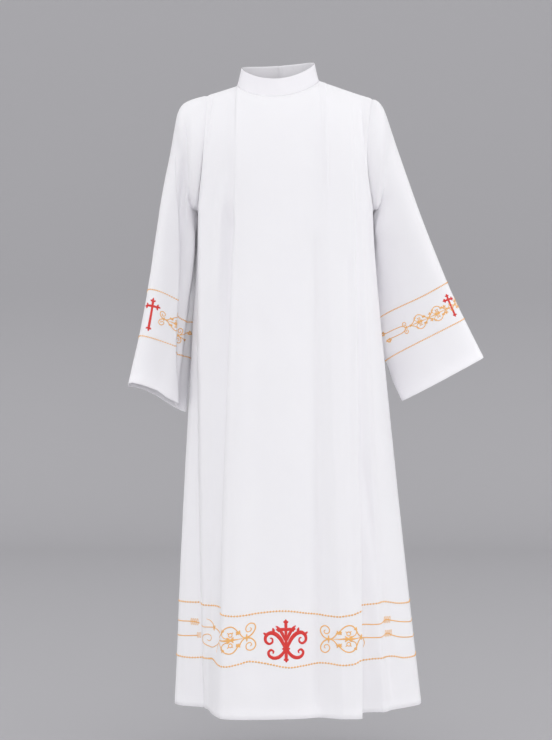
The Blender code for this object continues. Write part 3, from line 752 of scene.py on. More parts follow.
print("alb: body")
frontTucks = (
    Tuck("left tuck and roll crest", -0.40, 0.0022, -1, 0.0010, 0.018),
    Tuck("right tuck", -0.30, 0.0011, 1, 0.0010, 0.016),
)
frontCreases = (
    Crease(((-0.1010, -0.17), (-0.1060, -0.36)), -0.0040, 0.013, 0.005),      # beside the left tuck
    Crease(((-0.1085, -0.30), (-0.1177, -0.51), (-0.1270, -0.74), (-0.1365, -0.97),      # left trough
            (-0.143, -1.30)), -0.0175, 0.014, 0.007),
    Crease(((-0.122, -0.18), (-0.150, -0.32)), -0.0025, 0.010, 0.012),      # side of the roll
    Crease(((-0.128, -0.22), (-0.140, -0.52)), 0.0040, 0.013, 0.013),      # left bulge
    Crease(((0.188, -0.86), (0.235, -1.18), (0.262, -1.42)), -0.0050, 0.012, 0.016),      # right diagonal
    Crease(((0.080, -0.36), (0.088, -1.44)), -0.0042, 0.034, 0.010),      # centre hollow
    Crease(((0.030, -0.60), (0.018, -1.40)), 0.0020, 0.030, 0.024),      # over the centre
    Crease(((-0.040, -0.55), (-0.052, -1.38)), -0.0022, 0.024, 0.030),      # left of the centre
    Crease(((0.160, -0.40), (0.168, -1.20)), -0.0028, 0.012, 0.009),      # beside the pleat
)
backCreases = (
    Crease(((-0.060, -0.35), (-0.085, -1.00)), -0.0030, 0.020, 0.016),      # left back hollow
    Crease(((0.090, -0.40), (0.112, -1.10)), -0.0026, 0.016, 0.022),      # right back hollow
    Crease(((-0.120, -0.16), (-0.150, -0.33)), -0.0024, 0.012, 0.010),      # under the left shoulder blade
    Crease(((0.150, -0.17), (0.178, -0.34)), -0.0024, 0.010, 0.012),      # under the right shoulder blade
)


def dressedCloth(lines, face, creases, tucks, countFrom):
    grid, columns = bodyGrid(lines, face)
    cloth = Cloth(soften(grid))
    edge = np.minimum(cloth.around, cloth.around[:, -1:] - cloth.around)
    top = cloth.height[-1:] - cloth.height
    lift = (creaseLift(cloth.points, creases) + waver(cloth.points)) * (calmBy(edge) * calmBy(top))
    lift += tuckLift(cloth, lines, columns, tucks) * easeStep(top, 0.0, body["tuckClear"])
    lift += seamLift(cloth, ("top", "first", "last"))
    cloth.points = cloth.points + cloth.normals * lift[:, :, None]
    cloth.measure()
    cloth.countFrom(columnAt(countFrom, lines, columns))
    return cloth


frontCloth = dressedCloth(frontLines, "front", frontCreases, frontTucks, "centre")
backRightCloth = dressedCloth(backRightLines, "back", backCreases, (), "right side seam")
backLeftCloth = dressedCloth(backLeftLines, "back", backCreases, (), "left side seam")
frontPiece = clothPiece("albFront", frontCloth, whiteCloth, "front")
backRightPiece = clothPiece("albBackRight", backRightCloth, whiteCloth, "back_right")
backLeftPiece = clothPiece("albBackLeft", backLeftCloth, whiteCloth, "back_left")

print("alb: sleeves")
sleeveCreases = {
    "left": (
        Crease(((-0.190, -0.085), (-0.205, -0.20)), 0.0035, 0.012, 0.012),      # shoulder ridge
        Crease(((-0.194, -0.14), (-0.190, -0.27)), -0.0050, 0.012, 0.010),      # armpit hollow
        Crease(((-0.212, -0.09), (-0.219, -0.20), (-0.222, -0.32), (-0.2255, -0.50),      # beside the fold
                (-0.227, -0.80)), -0.0130, 0.006, 0.012),
        Crease(((-0.202, -0.33), (-0.208, -0.45), (-0.2155, -0.60), (-0.2240, -0.74)),      # inner bulge
               0.0100, 0.008, 0.012),
    ),
    "right": (
        Crease(((0.232, -0.070), (0.216, -0.165)), 0.0030, 0.010, 0.008),      # shoulder fold
        Crease(((0.233, -0.07), (0.220, -0.28)), -0.0030, 0.006, 0.010),      # long dip
        Crease(((0.246, -0.12), (0.262, -0.40), (0.262, -0.54)), -0.0014, 0.010, 0.012),      # second dip
        Crease(((0.230, -0.30), (0.234, -0.42), (0.242, -0.54), (0.260, -0.66)),      # inner bulge
               0.0135, 0.012, 0.030),
    ),
}
# The outer side is drawn in, from one distance below the neck and in full at another.
slim = {"left": 0.005, "right": 0.0, "from": 0.22, "full": 0.50}
# The inner side fills out towards the body: most at the armpit, and by the share below under it.
armpit = {"left": 0.017, "right": 0.016, "z": -0.330, "width": 0.045, "below": 0.45, "belowTo": -0.62,
          "start": 0.03, "end": 0.1, "head": 0.012, "narrow": 4}
sleeveHead = {"on": 0.0016, "under": 0.0012}      # its edge goes in under the body's
facingFront = 0.4      # creases are full where the cloth faces the front this much, and fade towards 0
sleeveFold = Fold(((-0.230, -0.10), (-0.236, -0.20), (-0.241, -0.32), (-0.245, -0.45), (-0.247, -0.75)),
                  over=0.0135, rise=0.0050, before=0.022, after=0.0075, fade=(-0.07, -0.38))
# How far the left cuff's edge is drawn up: distance round it from its outer corner, then the rise.
cuffEdge = ((-0.235, 0.0), (-0.20, 0.003), (-0.16, 0.012), (-0.12, 0.018), (-0.08, 0.018), (-0.04, 0.012),
            (0.0, 0.0), (0.03, 0.005), (0.06, 0.008), (0.098, 0.009), (0.125, 0.0), (0.235, 0.0))
cuffShaped = 0.10      # above this height the sleeve keeps its form


def sleeveCloth(side):
    cloth = Cloth(sleeveGrid(side), closed=True)
    centre = cloth.points.mean(axis=1, keepdims=True)
    if np.sum(cloth.normals * (cloth.points - centre)) < 0:
        cloth.outward = -1
        cloth.measure()
    fromHead = cloth.height[-1:] - cloth.height
    calm = calmBy(fromHead)
    facing = easeStep(-cloth.normals[:, :, 1], 0.0, facingFront)
    lift = creaseLift(cloth.points, sleeveCreases[side]) * facing * calm
    lift += waver(cloth.points) * calm + seamLift(cloth, ("top",))
    outer = (1 - np.cos(2 * pi * np.arange(sleeve["columns"]) / sleeve["columns"])) / 2
    z = cloth.points[:, :, 2]
    lift -= slim[side] * outer**2 * easeStep(-z, slim["from"], slim["full"])
    nearArmpit = np.exp(-((z - armpit["z"]) / armpit["width"]) ** 2)
    ended = easeStep(-z, -armpit["belowTo"] - armpit["end"], -armpit["belowTo"])
    under = armpit["below"] * easeStep(armpit["z"] - z, 0, armpit["start"]) * (1 - ended)
    nearArmpit = np.maximum(nearArmpit, under) * easeStep(fromHead, 0, armpit["head"])
    lift += armpit[side] * (1 - outer) ** armpit["narrow"] * nearArmpit
    cloth.points = cloth.points + cloth.normals * lift[:, :, None]
    onward = unit(cloth.points[-1] - cloth.points[-2])
    cloth.points[-1] += onward * sleeveHead["on"] - cloth.normals[-1] * sleeveHead["under"]
    cloth.measure()
    cloth.countFrom(sleeve["columns"] // 2)
    if side == "left":
        edge = np.array(cuffEdge)
        drawn = np.interp(cloth.around[:, :-1], edge[:, 0], edge[:, 1])
        cloth.points[:, :, 2] += drawn * (1 - easeStep(cloth.height, 0, cuffShaped))
        foldOver(cloth, sleeveFold)
    return cloth


leftSleeve, rightSleeve = sleeveCloth("left"), sleeveCloth("right")
leftSleevePiece = clothPiece("albSleeveLeft", leftSleeve, whiteCloth, "sleeve_left")
rightSleevePiece = clothPiece("albSleeveRight", rightSleeve, whiteCloth, "sleeve_right")

print("alb: collar")
collar = {"wall": 0.0022, "height": 0.041, "topScale": 0.89, "lean": 0.8, "girth": 0.54,
          "lap": 0.016, "lapRise": 0.003, "standOff": 0.0006, "lapStart": 0.16, "lapFull": 0.01,
          "columns": 260, "rows": 22, "rounded": 0.05, "thinnest": 0.06}


def bandCloth():
    turns = np.linspace(-pi, pi + 2 * pi * collar["lap"] / collar["girth"], collar["columns"])
    base = np.array([neckline(turn) for turn in turns])
    centre = np.array((0, neck["centreY"]))
    lapped = easeStep(turns, pi - collar["lapStart"], pi - collar["lapFull"])      # the end lies on top
    rows = []
    for step in range(collar["rows"] + 1):
        part = step / collar["rows"]
        row = base.copy()
        scale = 1 + (collar["topScale"] - 1) * part ** collar["lean"]
        row[:, :2] = centre + (base[:, :2] - centre) * scale
        away = (collar["wall"] + collar["standOff"]) * lapped[:, None]
        row[:, :2] += unit(row[:, :2] - centre) * away
        row[:, 2] += collar["height"] * part + collar["lapRise"] * (1 - part) * lapped
        rows.append(row)
    return Cloth(np.array(rows))


collarBand = bandCloth()
collarPart = collarBand.height / collarBand.height[-1:]
nearTop = np.clip(collarPart - 1 + collar["rounded"], 0, 1) / collar["rounded"]
bandHalf = collar["wall"] / 2 * np.sqrt(np.clip(1 - nearTop**2, collar["thinnest"], 1))
collarPiece = wallMesh("albCollar", collarBand, bandHalf, bandHalf, collarClothPaintedShade)
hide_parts("collar")

print("alb: embroidery")
# Patterns are drawn in millimetres: x runs along the band, y up, and each point of a stroke has its width.
Stroke = namedtuple("Stroke", "points widths closed")


def stroke(points, widths, closed=False):
    points = np.array(points, float)
    return Stroke(points, np.broadcast_to(np.asarray(widths, float), len(points)).copy(), closed)


def moved(strokes, at=(0, 0), turn=0, scale=1, flip=1, thick=1, mirror=1):
    # flip turns a pattern upside down, mirror turns it left to right; then it is scaled, turned and moved
    c, s = cos(radians(turn)), sin(radians(turn))
    made = []
    for part in strokes:
        x, y = part.points[:, 0] * scale * mirror, part.points[:, 1] * scale * flip
        spots = np.column_stack((at[0] + x * c - y * s, at[1] + x * s + y * c))
        made.append(Stroke(spots, part.widths * thick, part.closed))
    return made


def leaf(length, width):
    widths = (width * 0.4, width, width * 0.25)
    return [stroke(((0, 0), (length * 0.5, length * 0.05), (length, 0)), widths)]


def sprig(length, width, spread=58):
    # three leaves from one point
    side = moved(leaf(length * 0.85, width * 0.9), turn=spread)
    return leaf(length, width) + side + moved(side, flip=-1)


def ring(radius, width, wide=1.0, count=10):
    turns = np.arange(count) * 2 * pi / count
    return [stroke(np.column_stack((radius * wide * np.cos(turns), radius * np.sin(turns))), width, True)]


def coil(count, pitch, width, height, line):
    strokes = []
    for index in range(count):
        place = ((index - (count - 1) / 2) * pitch, 0)
        strokes += moved(ring(height / 2, line, wide=width / height), at=place)
    return strokes


gold = {"line": 2.8, "leafLength": 7.5, "leafWidth": 4.2, "petal": 9.5, "ring": 4.3,
        "taper": (1.15, 0.75)}
bigScroll = ((-45, 0), (-53, 3), (-59.5, 9), (-63.5, 18), (-61, 26.5), (-53, 29.8), (-45.7, 26.2),
             (-42.7, 19), (-46, 13), (-52.6, 12.8), (-55.2, 17.6), (-51.8, 20.6))
forkLine = ((-45, 0), (-38, 1.2), (-32, 5), (-27, 10.5), (-21, 15))
archLine = ((-21, 15), (-14, 23), (-5, 28.6), (3, 29.6), (11, 27), (18, 20.5))
outerLine = ((18, 20.5), (24, 13), (32, 6.5), (40, 2.5), (46, 0))
innerLine = ((18, 20.5), (19.5, 14), (16, 8.5), (9, 4.5), (2, 1.5))


def scrolls():
    # the pair of volutes at the inner end of the band's pattern, about its node at x = -45
    thickest, thinnest = (gold["line"] * share for share in gold["taper"])
    half = [stroke(bigScroll, np.linspace(thickest, thinnest, len(bigScroll)))]
    bud = [stroke(((-45, -9), (-45, 0), (-45, 9)), (1.4, 5.2, 1.4))]
    return half + moved(half, flip=-1) + bud


def oval():
    # arches over and under a spindle, with a flower in the middle and a sprig at each joint
    line, length, width = gold["line"], gold["leafLength"], gold["leafWidth"]
    half = [stroke(forkLine, line), stroke(archLine, line), stroke(outerLine, line * 0.95)]
    half += [stroke(innerLine, line * 0.8)]
    half += moved(sprig(length, width), at=(-22.5, 13), turn=120)
    half += moved(sprig(length * 0.9, width), at=(-20, 14.5), turn=-50)
    half += moved(sprig(length, width), at=(17, 19), turn=70)
    half += moved(ring(gold["ring"], line * 0.8), at=(0, 11.5))
    half += moved(leaf(5, 2.6), at=(3.5, 14), turn=40) + moved(leaf(5, 2.6), at=(-3.5, 14), turn=140)
    half += moved(leaf(gold["petal"], width), at=(1, 1), turn=35)
    half += moved(leaf(gold["petal"], width), at=(-1, 1), turn=145)
    spindle = [stroke(((-36, 0), (-20, 0), (-6, 0), (1, 0), (9, 0), (24, 0), (46, 0)),
                      (1.2, 2.2, 4.6, 6.0, 4.6, 2.4, 1.6))]
    node = [stroke(((46, -7), (46, 0), (46, 7)), (1.2, 4.2, 1.2))]
    return half + moved(half, flip=-1) + spindle + node


def knot():
    leaves = moved(sprig(5.5, 3.8, spread=70), at=(1.5, 0)) + moved(leaf(5.5, 3), at=(-1.5, 0), turn=180)
    return ring(2.4, 3.2) + leaves


def buddedCross(up, down, arm, line, bud):
    # a cross whose four ends open into three buds each; it stands on y = -down
    strokes = [stroke(((0, -down), (0, 0), (0, up)), (line, line * 0.9, line)),
               stroke(((-arm, 0), (0, 0), (arm, 0)), (line * 0.9, line, line * 0.9))]
    for x, y, turn in ((0, up, 90), (arm, 0, 0), (-arm, 0, 180), (0, -down, -90)):
        strokes += moved(sprig(bud, line * 0.85, spread=62), at=(x, y), turn=turn)
    return strokes


def laid(points, spine):
    # millimetres along and across a spine become distances round the cloth and above its edge
    table = np.array(spine, float)      # x in millimetres, then around and height in metres
    around = np.interp(points[:, 0], table[:, 0], table[:, 1])
    height = np.interp(points[:, 0], table[:, 0], table[:, 2]) + points[:, 1] / 1000
    return np.column_stack((around, height))


def curved(points, step, closed=False):
    # a smooth curve through the points; columns beyond the first two are carried along
    if closed:
        points = np.vstack((points[-1:], points, points[:2]))
    else:
        points = np.vstack((2 * points[0] - points[1], points, 2 * points[-1] - points[-2]))
    gaps = np.maximum(np.linalg.norm(np.diff(points[:, :2], axis=0), axis=1), 1e-7)
    places = np.r_[0, np.cumsum(gaps)]
    slopes = (points[2:] - points[:-2]) / (places[2:] - places[:-2])[:, None]
    made = []
    for index in range(len(points) - 3):
        gap = gaps[index + 1]
        count = max(1, ceil(gap / step))
        part = (np.arange(count) / count)[:, None]
        made.append(between(points[index + 1], points[index + 2], slopes[index] * gap,
                            slopes[index + 1] * gap, part))
    made = np.vstack(made)
    return made if closed else np.vstack((made, points[-2:-1]))


# Steps, margin and highest are in metres; rise, sunk and tip are shares of a stroke's width or height.
thread = {"step": 0.0014, "lineStep": 0.003, "margin": 0.0012, "rise": 0.34, "highest": 0.0007,
          "uneven": 0.04, "unevenEvery": 5, "sunk": 0.3, "tip": 0.4, "sharpAngle": 70,
          "profile": ((-0.5, -1), (-0.45, 0.45), (-0.2, 0.95), (0.2, 0.95), (0.45, 0.45), (0.5, -1))}
beadForm = {"rings": ((1.0, -0.5), (0.86, 0.45), (0.5, 0.9)), "sides": 8, "rise": 0.3, "ahead": 0.0005}


def stitchRings(path, closed, here, out, order):
    # the rings of points round one stroke, and their places on the flat; order varies its height a little
    if closed:
        along = np.roll(here, -1, axis=0) - np.roll(here, 1, axis=0)
    else:
        along = np.gradient(here, axis=0)
    across = unit(np.cross(out, along))
    walked = walk(here)
    width = path[:, 2].copy()
    if not closed:      # rounded ends
        toEnd = np.minimum(walked, walked[-1] - walked)
        rounding = np.clip(toEnd / np.maximum(width / 2, 1e-6), 0, 1)
        width *= np.sqrt(np.clip(1 - (1 - rounding) ** 2, thread["tip"] ** 2, 1))
    extra = 1 + thread["uneven"] * (order % thread["unevenEvery"])
    rise = np.minimum(thread["rise"] * width, thread["highest"]) * extra
    profile = np.array(thread["profile"])
    lift = np.where(profile[:, 1] > 0, profile[:, 1], profile[:, 1] * thread["sunk"])
    beside = profile[:, 0] * width[:, None]
    points = (here[:, None] + across[:, None] * beside[:, :, None]
              + out[:, None] * (lift * rise[:, None] + shell["wall"] / 2)[:, :, None])
    flat = np.stack((np.broadcast_to(walked[:, None], beside.shape), beside), axis=2)
    return points.reshape(-1, 3), flat.reshape(-1, 2)


def stitchFaces(count, closed, start):
    # the faces between a stroke's rings, and the two ends of an open one
    sides = len(thread["profile"])
    turns = np.arange(count if closed else count - 1)[:, None]
    j, after = turns * sides, (turns + 1) % count * sides
    k = np.arange(sides)[None, :]
    kAfter = (k + 1) % sides
    quads = np.stack((j + k, after + k, after + kAfter, j + kAfter), axis=2).reshape(-1, 4) + start
    faces = [tuple(quad) for quad in quads.tolist()]
    if not closed:
        faces.append(tuple(range(start, start + sides)))
        faces.append(tuple(range(start + count * sides - 1, start + (count - 1) * sides - 1, -1)))
    return faces


def beadFaces():
    # one bead: rings of quads, a pointed top and a flat foot
    sides, rings = beadForm["sides"], len(beadForm["rings"])
    turns = [(k, (k + 1) % sides) for k in range(sides)]
    last = (rings - 1) * sides
    faces = [(level + k, level + after, level + after + sides, level + k + sides)
             for level in range(0, last, sides) for k, after in turns]
    faces += [(last + k, last + after, rings * sides) for k, after in turns]
    return faces + [tuple(range(sides - 1, -1, -1))]


class Needlework:
    # raised thread on a cloth: strokes and beads with closed surfaces, sunk a little into it, as one mesh

    def __init__(self, cloth):
        self.cloth = cloth
        self.strokes = []
        self.beads = []

    def sew(self, strokes, spine):
        for part in strokes:
            path = np.column_stack((laid(part.points, spine), part.widths / 1000))
            self.strokes.append((curved(path, thread["step"], part.closed), part.closed))

    def route(self, table):
        # a curve through a table of (around, height), as far as the cloth goes
        path = curved(np.array(table, float), thread["lineStep"])
        low, high = self.cloth.reach(path[:, 1])
        return path[(path[:, 0] > low + thread["margin"]) & (path[:, 0] < high - thread["margin"])]

    def line(self, table, width):
        path = self.route(table)
        self.strokes.append((np.column_stack((path, np.full(len(path), width))), False))
        return path

    def beadLine(self, table, band):
        # beads along a line, strung on a thread if the band has one
        path = self.line(table, band["thread"]) if "thread" in band else self.route(table)
        walked = walk(path)
        for spot in np.arange(band["pitch"] / 2, walked[-1], band["pitch"]):
            here = [np.interp(spot, walked, path[:, axis]) for axis in (0, 1)]
            after = [np.interp(spot + beadForm["ahead"], walked, path[:, axis]) for axis in (0, 1)]
            self.beads.append((*here, *after, band["beadLength"], band["beadWidth"]))

    def build(self, name, material):
        vertices, faces, uv = [], [], []
        start, first = 0, 0
        flatPaths = np.vstack([path for path, closed in self.strokes] or [np.zeros((0, 3))])
        spots, outward = self.cloth.place(flatPaths[:, 0], flatPaths[:, 1])
        for order, (path, closed) in enumerate(self.strokes):
            count = len(path)
            here, out = spots[first:first + count], outward[first:first + count]
            first += count
            if count < 3:
                continue
            points, flat = stitchRings(path, closed, here, out, order)
            vertices.append(points)
            uv.append(flat)
            faces += stitchFaces(count, closed, start)
            start += len(points)
        if self.beads:
            self.buildBeads(vertices, faces, uv, start)
        made = addObject(name, np.vstack(vertices), faces, material, "threadUv", np.vstack(uv),
                         thread["sharpAngle"])
        return made

    def buildBeads(self, vertices, faces, uv, start):
        table = np.array(self.beads)
        here, out = self.cloth.place(table[:, 0], table[:, 1])
        after, _ = self.cloth.place(table[:, 2], table[:, 3])
        across = unit(np.cross(out, after - here))
        along = np.cross(across, out)
        turns = np.arange(beadForm["sides"]) * 2 * pi / beadForm["sides"]
        a = np.concatenate([size * np.cos(turns) / 2 for size, level in beadForm["rings"]] + [[0]])
        b = np.concatenate([size * np.sin(turns) / 2 for size, level in beadForm["rings"]] + [[0]])
        h = np.array([level for size, level in beadForm["rings"] for turn in turns] + [1.0])
        length, width = table[:, 4:5], table[:, 5:6]
        lift = beadForm["rise"] * width * h + shell["wall"] / 2
        made = (here[:, None] + along[:, None] * (a * length)[:, :, None]
                + across[:, None] * (b * width)[:, :, None] + out[:, None] * lift[:, :, None])
        vertices.append(made.reshape(-1, 3))
        uv.append(np.stack((a * length, b * width), axis=2).reshape(-1, 2))
        one = beadFaces()
        for base in range(start, start + len(table) * len(a), len(a)):
            faces += [tuple(corner + base for corner in face) for face in one]


def flatSpine(around, height, slope=0.0, half=0.5):
    # a straight spine with its middle at one place on the cloth
    return [(way * half * 1000, around + way * half, height + way * half * slope) for way in (-1, 1)]


# The band round the hem. Each table has columns (around, height): metres round the cloth from where its
# counting starts, and metres above the hem. The coils are small rings in a row on the lines, in millimetres.
hemBand = {"pitch": 0.0068, "beadLength": 0.0050, "beadWidth": 0.0047, "thread": 0.0009, "line": 0.0025,
           "coilPitch": 5.1, "coilWidth": 3.3, "coilHeight": 15.0, "coilLine": 1.2}


def addCoil(work, around, height, count=4, share=1.0):
    pattern = coil(count, hemBand["coilPitch"], hemBand["coilWidth"], hemBand["coilHeight"] * share,
                   hemBand["coilLine"])
    work.sew(pattern, flatSpine(around, height))


hemFront = {
    "beads": (
        ((-0.29, 0.2400), (-0.246, 0.2394), (-0.205, 0.2414), (-0.170, 0.2320), (-0.127, 0.2283),
         (-0.098, 0.2310), (-0.064, 0.2364), (-0.008, 0.2401), (0.049, 0.2325), (0.1136, 0.2264),
         (0.136, 0.2288), (0.152, 0.2315), (0.168, 0.2375), (0.200, 0.2420), (0.234, 0.2447),
         (0.269, 0.2475), (0.2955, 0.2495), (0.342, 0.2423), (0.390, 0.2405), (0.445, 0.2400)),
        ((-0.29, 0.1157), (-0.245, 0.1175), (-0.202, 0.1237), (-0.170, 0.1162), (-0.142, 0.1157),
         (-0.110, 0.1235), (-0.090, 0.1286), (-0.054, 0.1242), (-0.003, 0.1145), (0.036, 0.1173),
         (0.083, 0.1220), (0.129, 0.1189), (0.156, 0.1225), (0.168, 0.1288), (0.205, 0.1230),
         (0.244, 0.1195), (0.2775, 0.1222), (0.3305, 0.1221), (0.365, 0.1150), (0.41, 0.1145),
         (0.465, 0.1150)),
    ),
    "lines": (
        ((0.1692, 0.1830), (0.200, 0.1925), (0.237, 0.2004), (0.262, 0.2000), (0.290, 0.2015),
         (0.306, 0.2074), (0.320, 0.2050), (0.345, 0.2000), (0.385, 0.1955), (0.445, 0.1950)),
        ((0.1692, 0.1800), (0.205, 0.1745), (0.239, 0.1708), (0.270, 0.1700), (0.296, 0.1712),
         (0.312, 0.1761), (0.326, 0.1705), (0.350, 0.1640), (0.390, 0.1600), (0.455, 0.1590)),
    ),
    "motifs": (      # spines of the right and the left pattern: x in millimetres, around, height
        ((-66, 0.0722, 0.1750), (-45, 0.0943, 0.1758), (0, 0.1403, 0.1776), (18, 0.1570, 0.1780),
         (46, 0.1690, 0.1815)),
        ((-66, -0.0722, 0.1868), (-55, -0.0840, 0.1843), (-45, -0.0947, 0.1816), (0, -0.1310, 0.1748),
         (18, -0.1530, 0.1712), (46, -0.1821, 0.1721)),
    ),
    "coils": ((0.308, 0.2074), (0.314, 0.1761)),
}
hemBackRight = {
    "beads": (((-0.01, 0.2405), (0.10, 0.2412), (0.22, 0.2388), (0.30, 0.2410), (0.39, 0.2400)),
              ((-0.01, 0.1150), (0.09, 0.1165), (0.20, 0.1140), (0.30, 0.1158), (0.41, 0.1150))),
    "lines": (((-0.01, 0.1950), (0.09, 0.1945), (0.125, 0.1990), (0.16, 0.1945), (0.25, 0.1950),
               (0.285, 0.1985), (0.32, 0.1940), (0.39, 0.1945)),
              ((-0.01, 0.1590), (0.09, 0.1600), (0.131, 0.1650), (0.17, 0.1605), (0.25, 0.1600),
               (0.291, 0.1645), (0.33, 0.1600), (0.40, 0.1600))),
    "motifs": (),
    "coils": ((0.125, 0.1990), (0.131, 0.1650), (0.285, 0.1985), (0.291, 0.1645)),
}
hemBackLeft = {
    "beads": (((-0.45, 0.2400), (-0.36, 0.2392), (-0.25, 0.2414), (-0.12, 0.2395), (-0.028, 0.2396),
               (0.01, 0.2415)),
              ((-0.47, 0.1150), (-0.36, 0.1164), (-0.24, 0.1138), (-0.12, 0.1150), (-0.044, 0.1117),
               (-0.019, 0.1123), (0.01, 0.1160))),
    "lines": (((-0.45, 0.1945), (-0.37, 0.1940), (-0.335, 0.1985), (-0.30, 0.1945), (-0.21, 0.1950),
               (-0.175, 0.1985), (-0.14, 0.1940), (-0.060, 0.1940), (-0.018, 0.1950), (0.01, 0.1885)),
              ((-0.46, 0.1600), (-0.38, 0.1600), (-0.341, 0.1645), (-0.30, 0.1605), (-0.22, 0.1600),
               (-0.181, 0.1645), (-0.14, 0.1600), (-0.06, 0.1600), (-0.009, 0.1640))),
    "motifs": (),
    "coils": ((-0.0175, 0.1950), (-0.335, 0.1985), (-0.341, 0.1645), (-0.175, 0.1985), (-0.181, 0.1645),
              (-0.0072, 0.1650, 2, 0.85)),      # the last one has two rings, a little lower
}
frontGold = Needlework(frontCloth)
backRightGold, backLeftGold = Needlework(backRightCloth), Needlework(backLeftCloth)
for work, tables in ((frontGold, hemFront), (backRightGold, hemBackRight), (backLeftGold, hemBackLeft)):
    for table in tables["beads"]:
        work.beadLine(table, hemBand)
    for table in tables["lines"]:
        work.line(table, hemBand["line"])
    for spine in tables["motifs"]:
        work.sew(scrolls() + oval(), spine)
    for place in tables["coils"]:
        addCoil(work, *place)
# What follows the left pattern, round the trough to the side seam, and one short curl on the right.
besidePatterns = [
    stroke(((-182, 172), (-191, 179), (-205.6, 186.8), (-228, 190.5), (-253.5, 188.9), (-283, 188.9)), 2.1),
    stroke(((-228, 190.5), (-234, 199), (-243, 205.5), (-252, 208)), (2.2, 2.2, 1.8, 0.9)),
    stroke(((-186.3, 209), (-188.3, 196), (-182.6, 174), (-187.2, 157), (-183.3, 141)),
           (1.0, 1.7, 2.0, 1.7, 1.0)),
    stroke(((-182, 172), (-186, 165), (-193, 158), (-213, 148.8), (-237, 146.4), (-255, 150.5),
            (-263.5, 158.5), (-260, 168), (-247, 173), (-236, 170), (-233, 163.6), (-239.5, 158.4),
            (-247, 160.5)),
           (2.2, 2.2, 2.3, 2.3, 2.2, 2.2, 2.1, 2.1, 2.0, 1.9, 1.8, 1.7, 1.5)),
    *moved(sprig(8, 4.4), at=(-226, 190), turn=150),
    *moved(leaf(7, 3.8), at=(-229, 190), turn=-70),
    stroke(((243.7, 148.5), (246, 158), (243, 167), (240, 171)), (1.0, 1.8, 1.9, 1.5)),
]
frontGold.sew(besidePatterns, flatSpine(0, 0))

# The red pattern in the middle of the hem: a budded cross between two pairs of volutes, in millimetres.
# around and height are its place on the cloth, in metres.
emblem = {"upper": ((2.5, -18), (6, -8), (13, 5), (24, 15), (36, 17), (45, 9.5), (45.5, -1), (38, -7),
                    (30.5, -3), (31, 4.5), (36, 5.5)),
          "upperWidths": (4.0, 6.0, 7.6, 7.8, 7.0, 6.2, 5.4, 4.6, 3.8, 3.2, 2.6),
          "lower": ((2.5, -19), (8, -29), (17, -36.5), (28, -38.5), (37, -34), (39.5, -26), (34, -20.5),
                    (28, -24), (30, -29)),
          "lowerWidths": (4.0, 6.0, 6.8, 6.4, 5.6, 5.0, 4.2, 3.4, 2.4),
          "around": -0.007, "height": 0.1744, "thick": 1.22}


def emblemPattern():
    half = [stroke(emblem["upper"], emblem["upperWidths"]), stroke(emblem["lower"], emblem["lowerWidths"]),
            stroke(((3, 0), (8, 15), (18, 29), (23, 33)), (2.0, 6.0, 4.4, 1.2))]
    half += moved(leaf(11, 5.5), at=(27, 18), turn=75) + moved(leaf(9, 4.6), at=(44, 12), turn=40)
    middle = moved(buddedCross(up=15, down=66, arm=15, line=6.2, bud=7.5), at=(0, 25))
    tie = [stroke(((-9, -18), (0, -18), (9, -18)), (4.2, 5.0, 4.2))]
    return half + moved(half, mirror=-1) + middle + tie


frontRed = Needlework(frontCloth)
frontRed.sew(moved(emblemPattern(), thick=emblem["thick"]), flatSpine(emblem["around"], emblem["height"]))

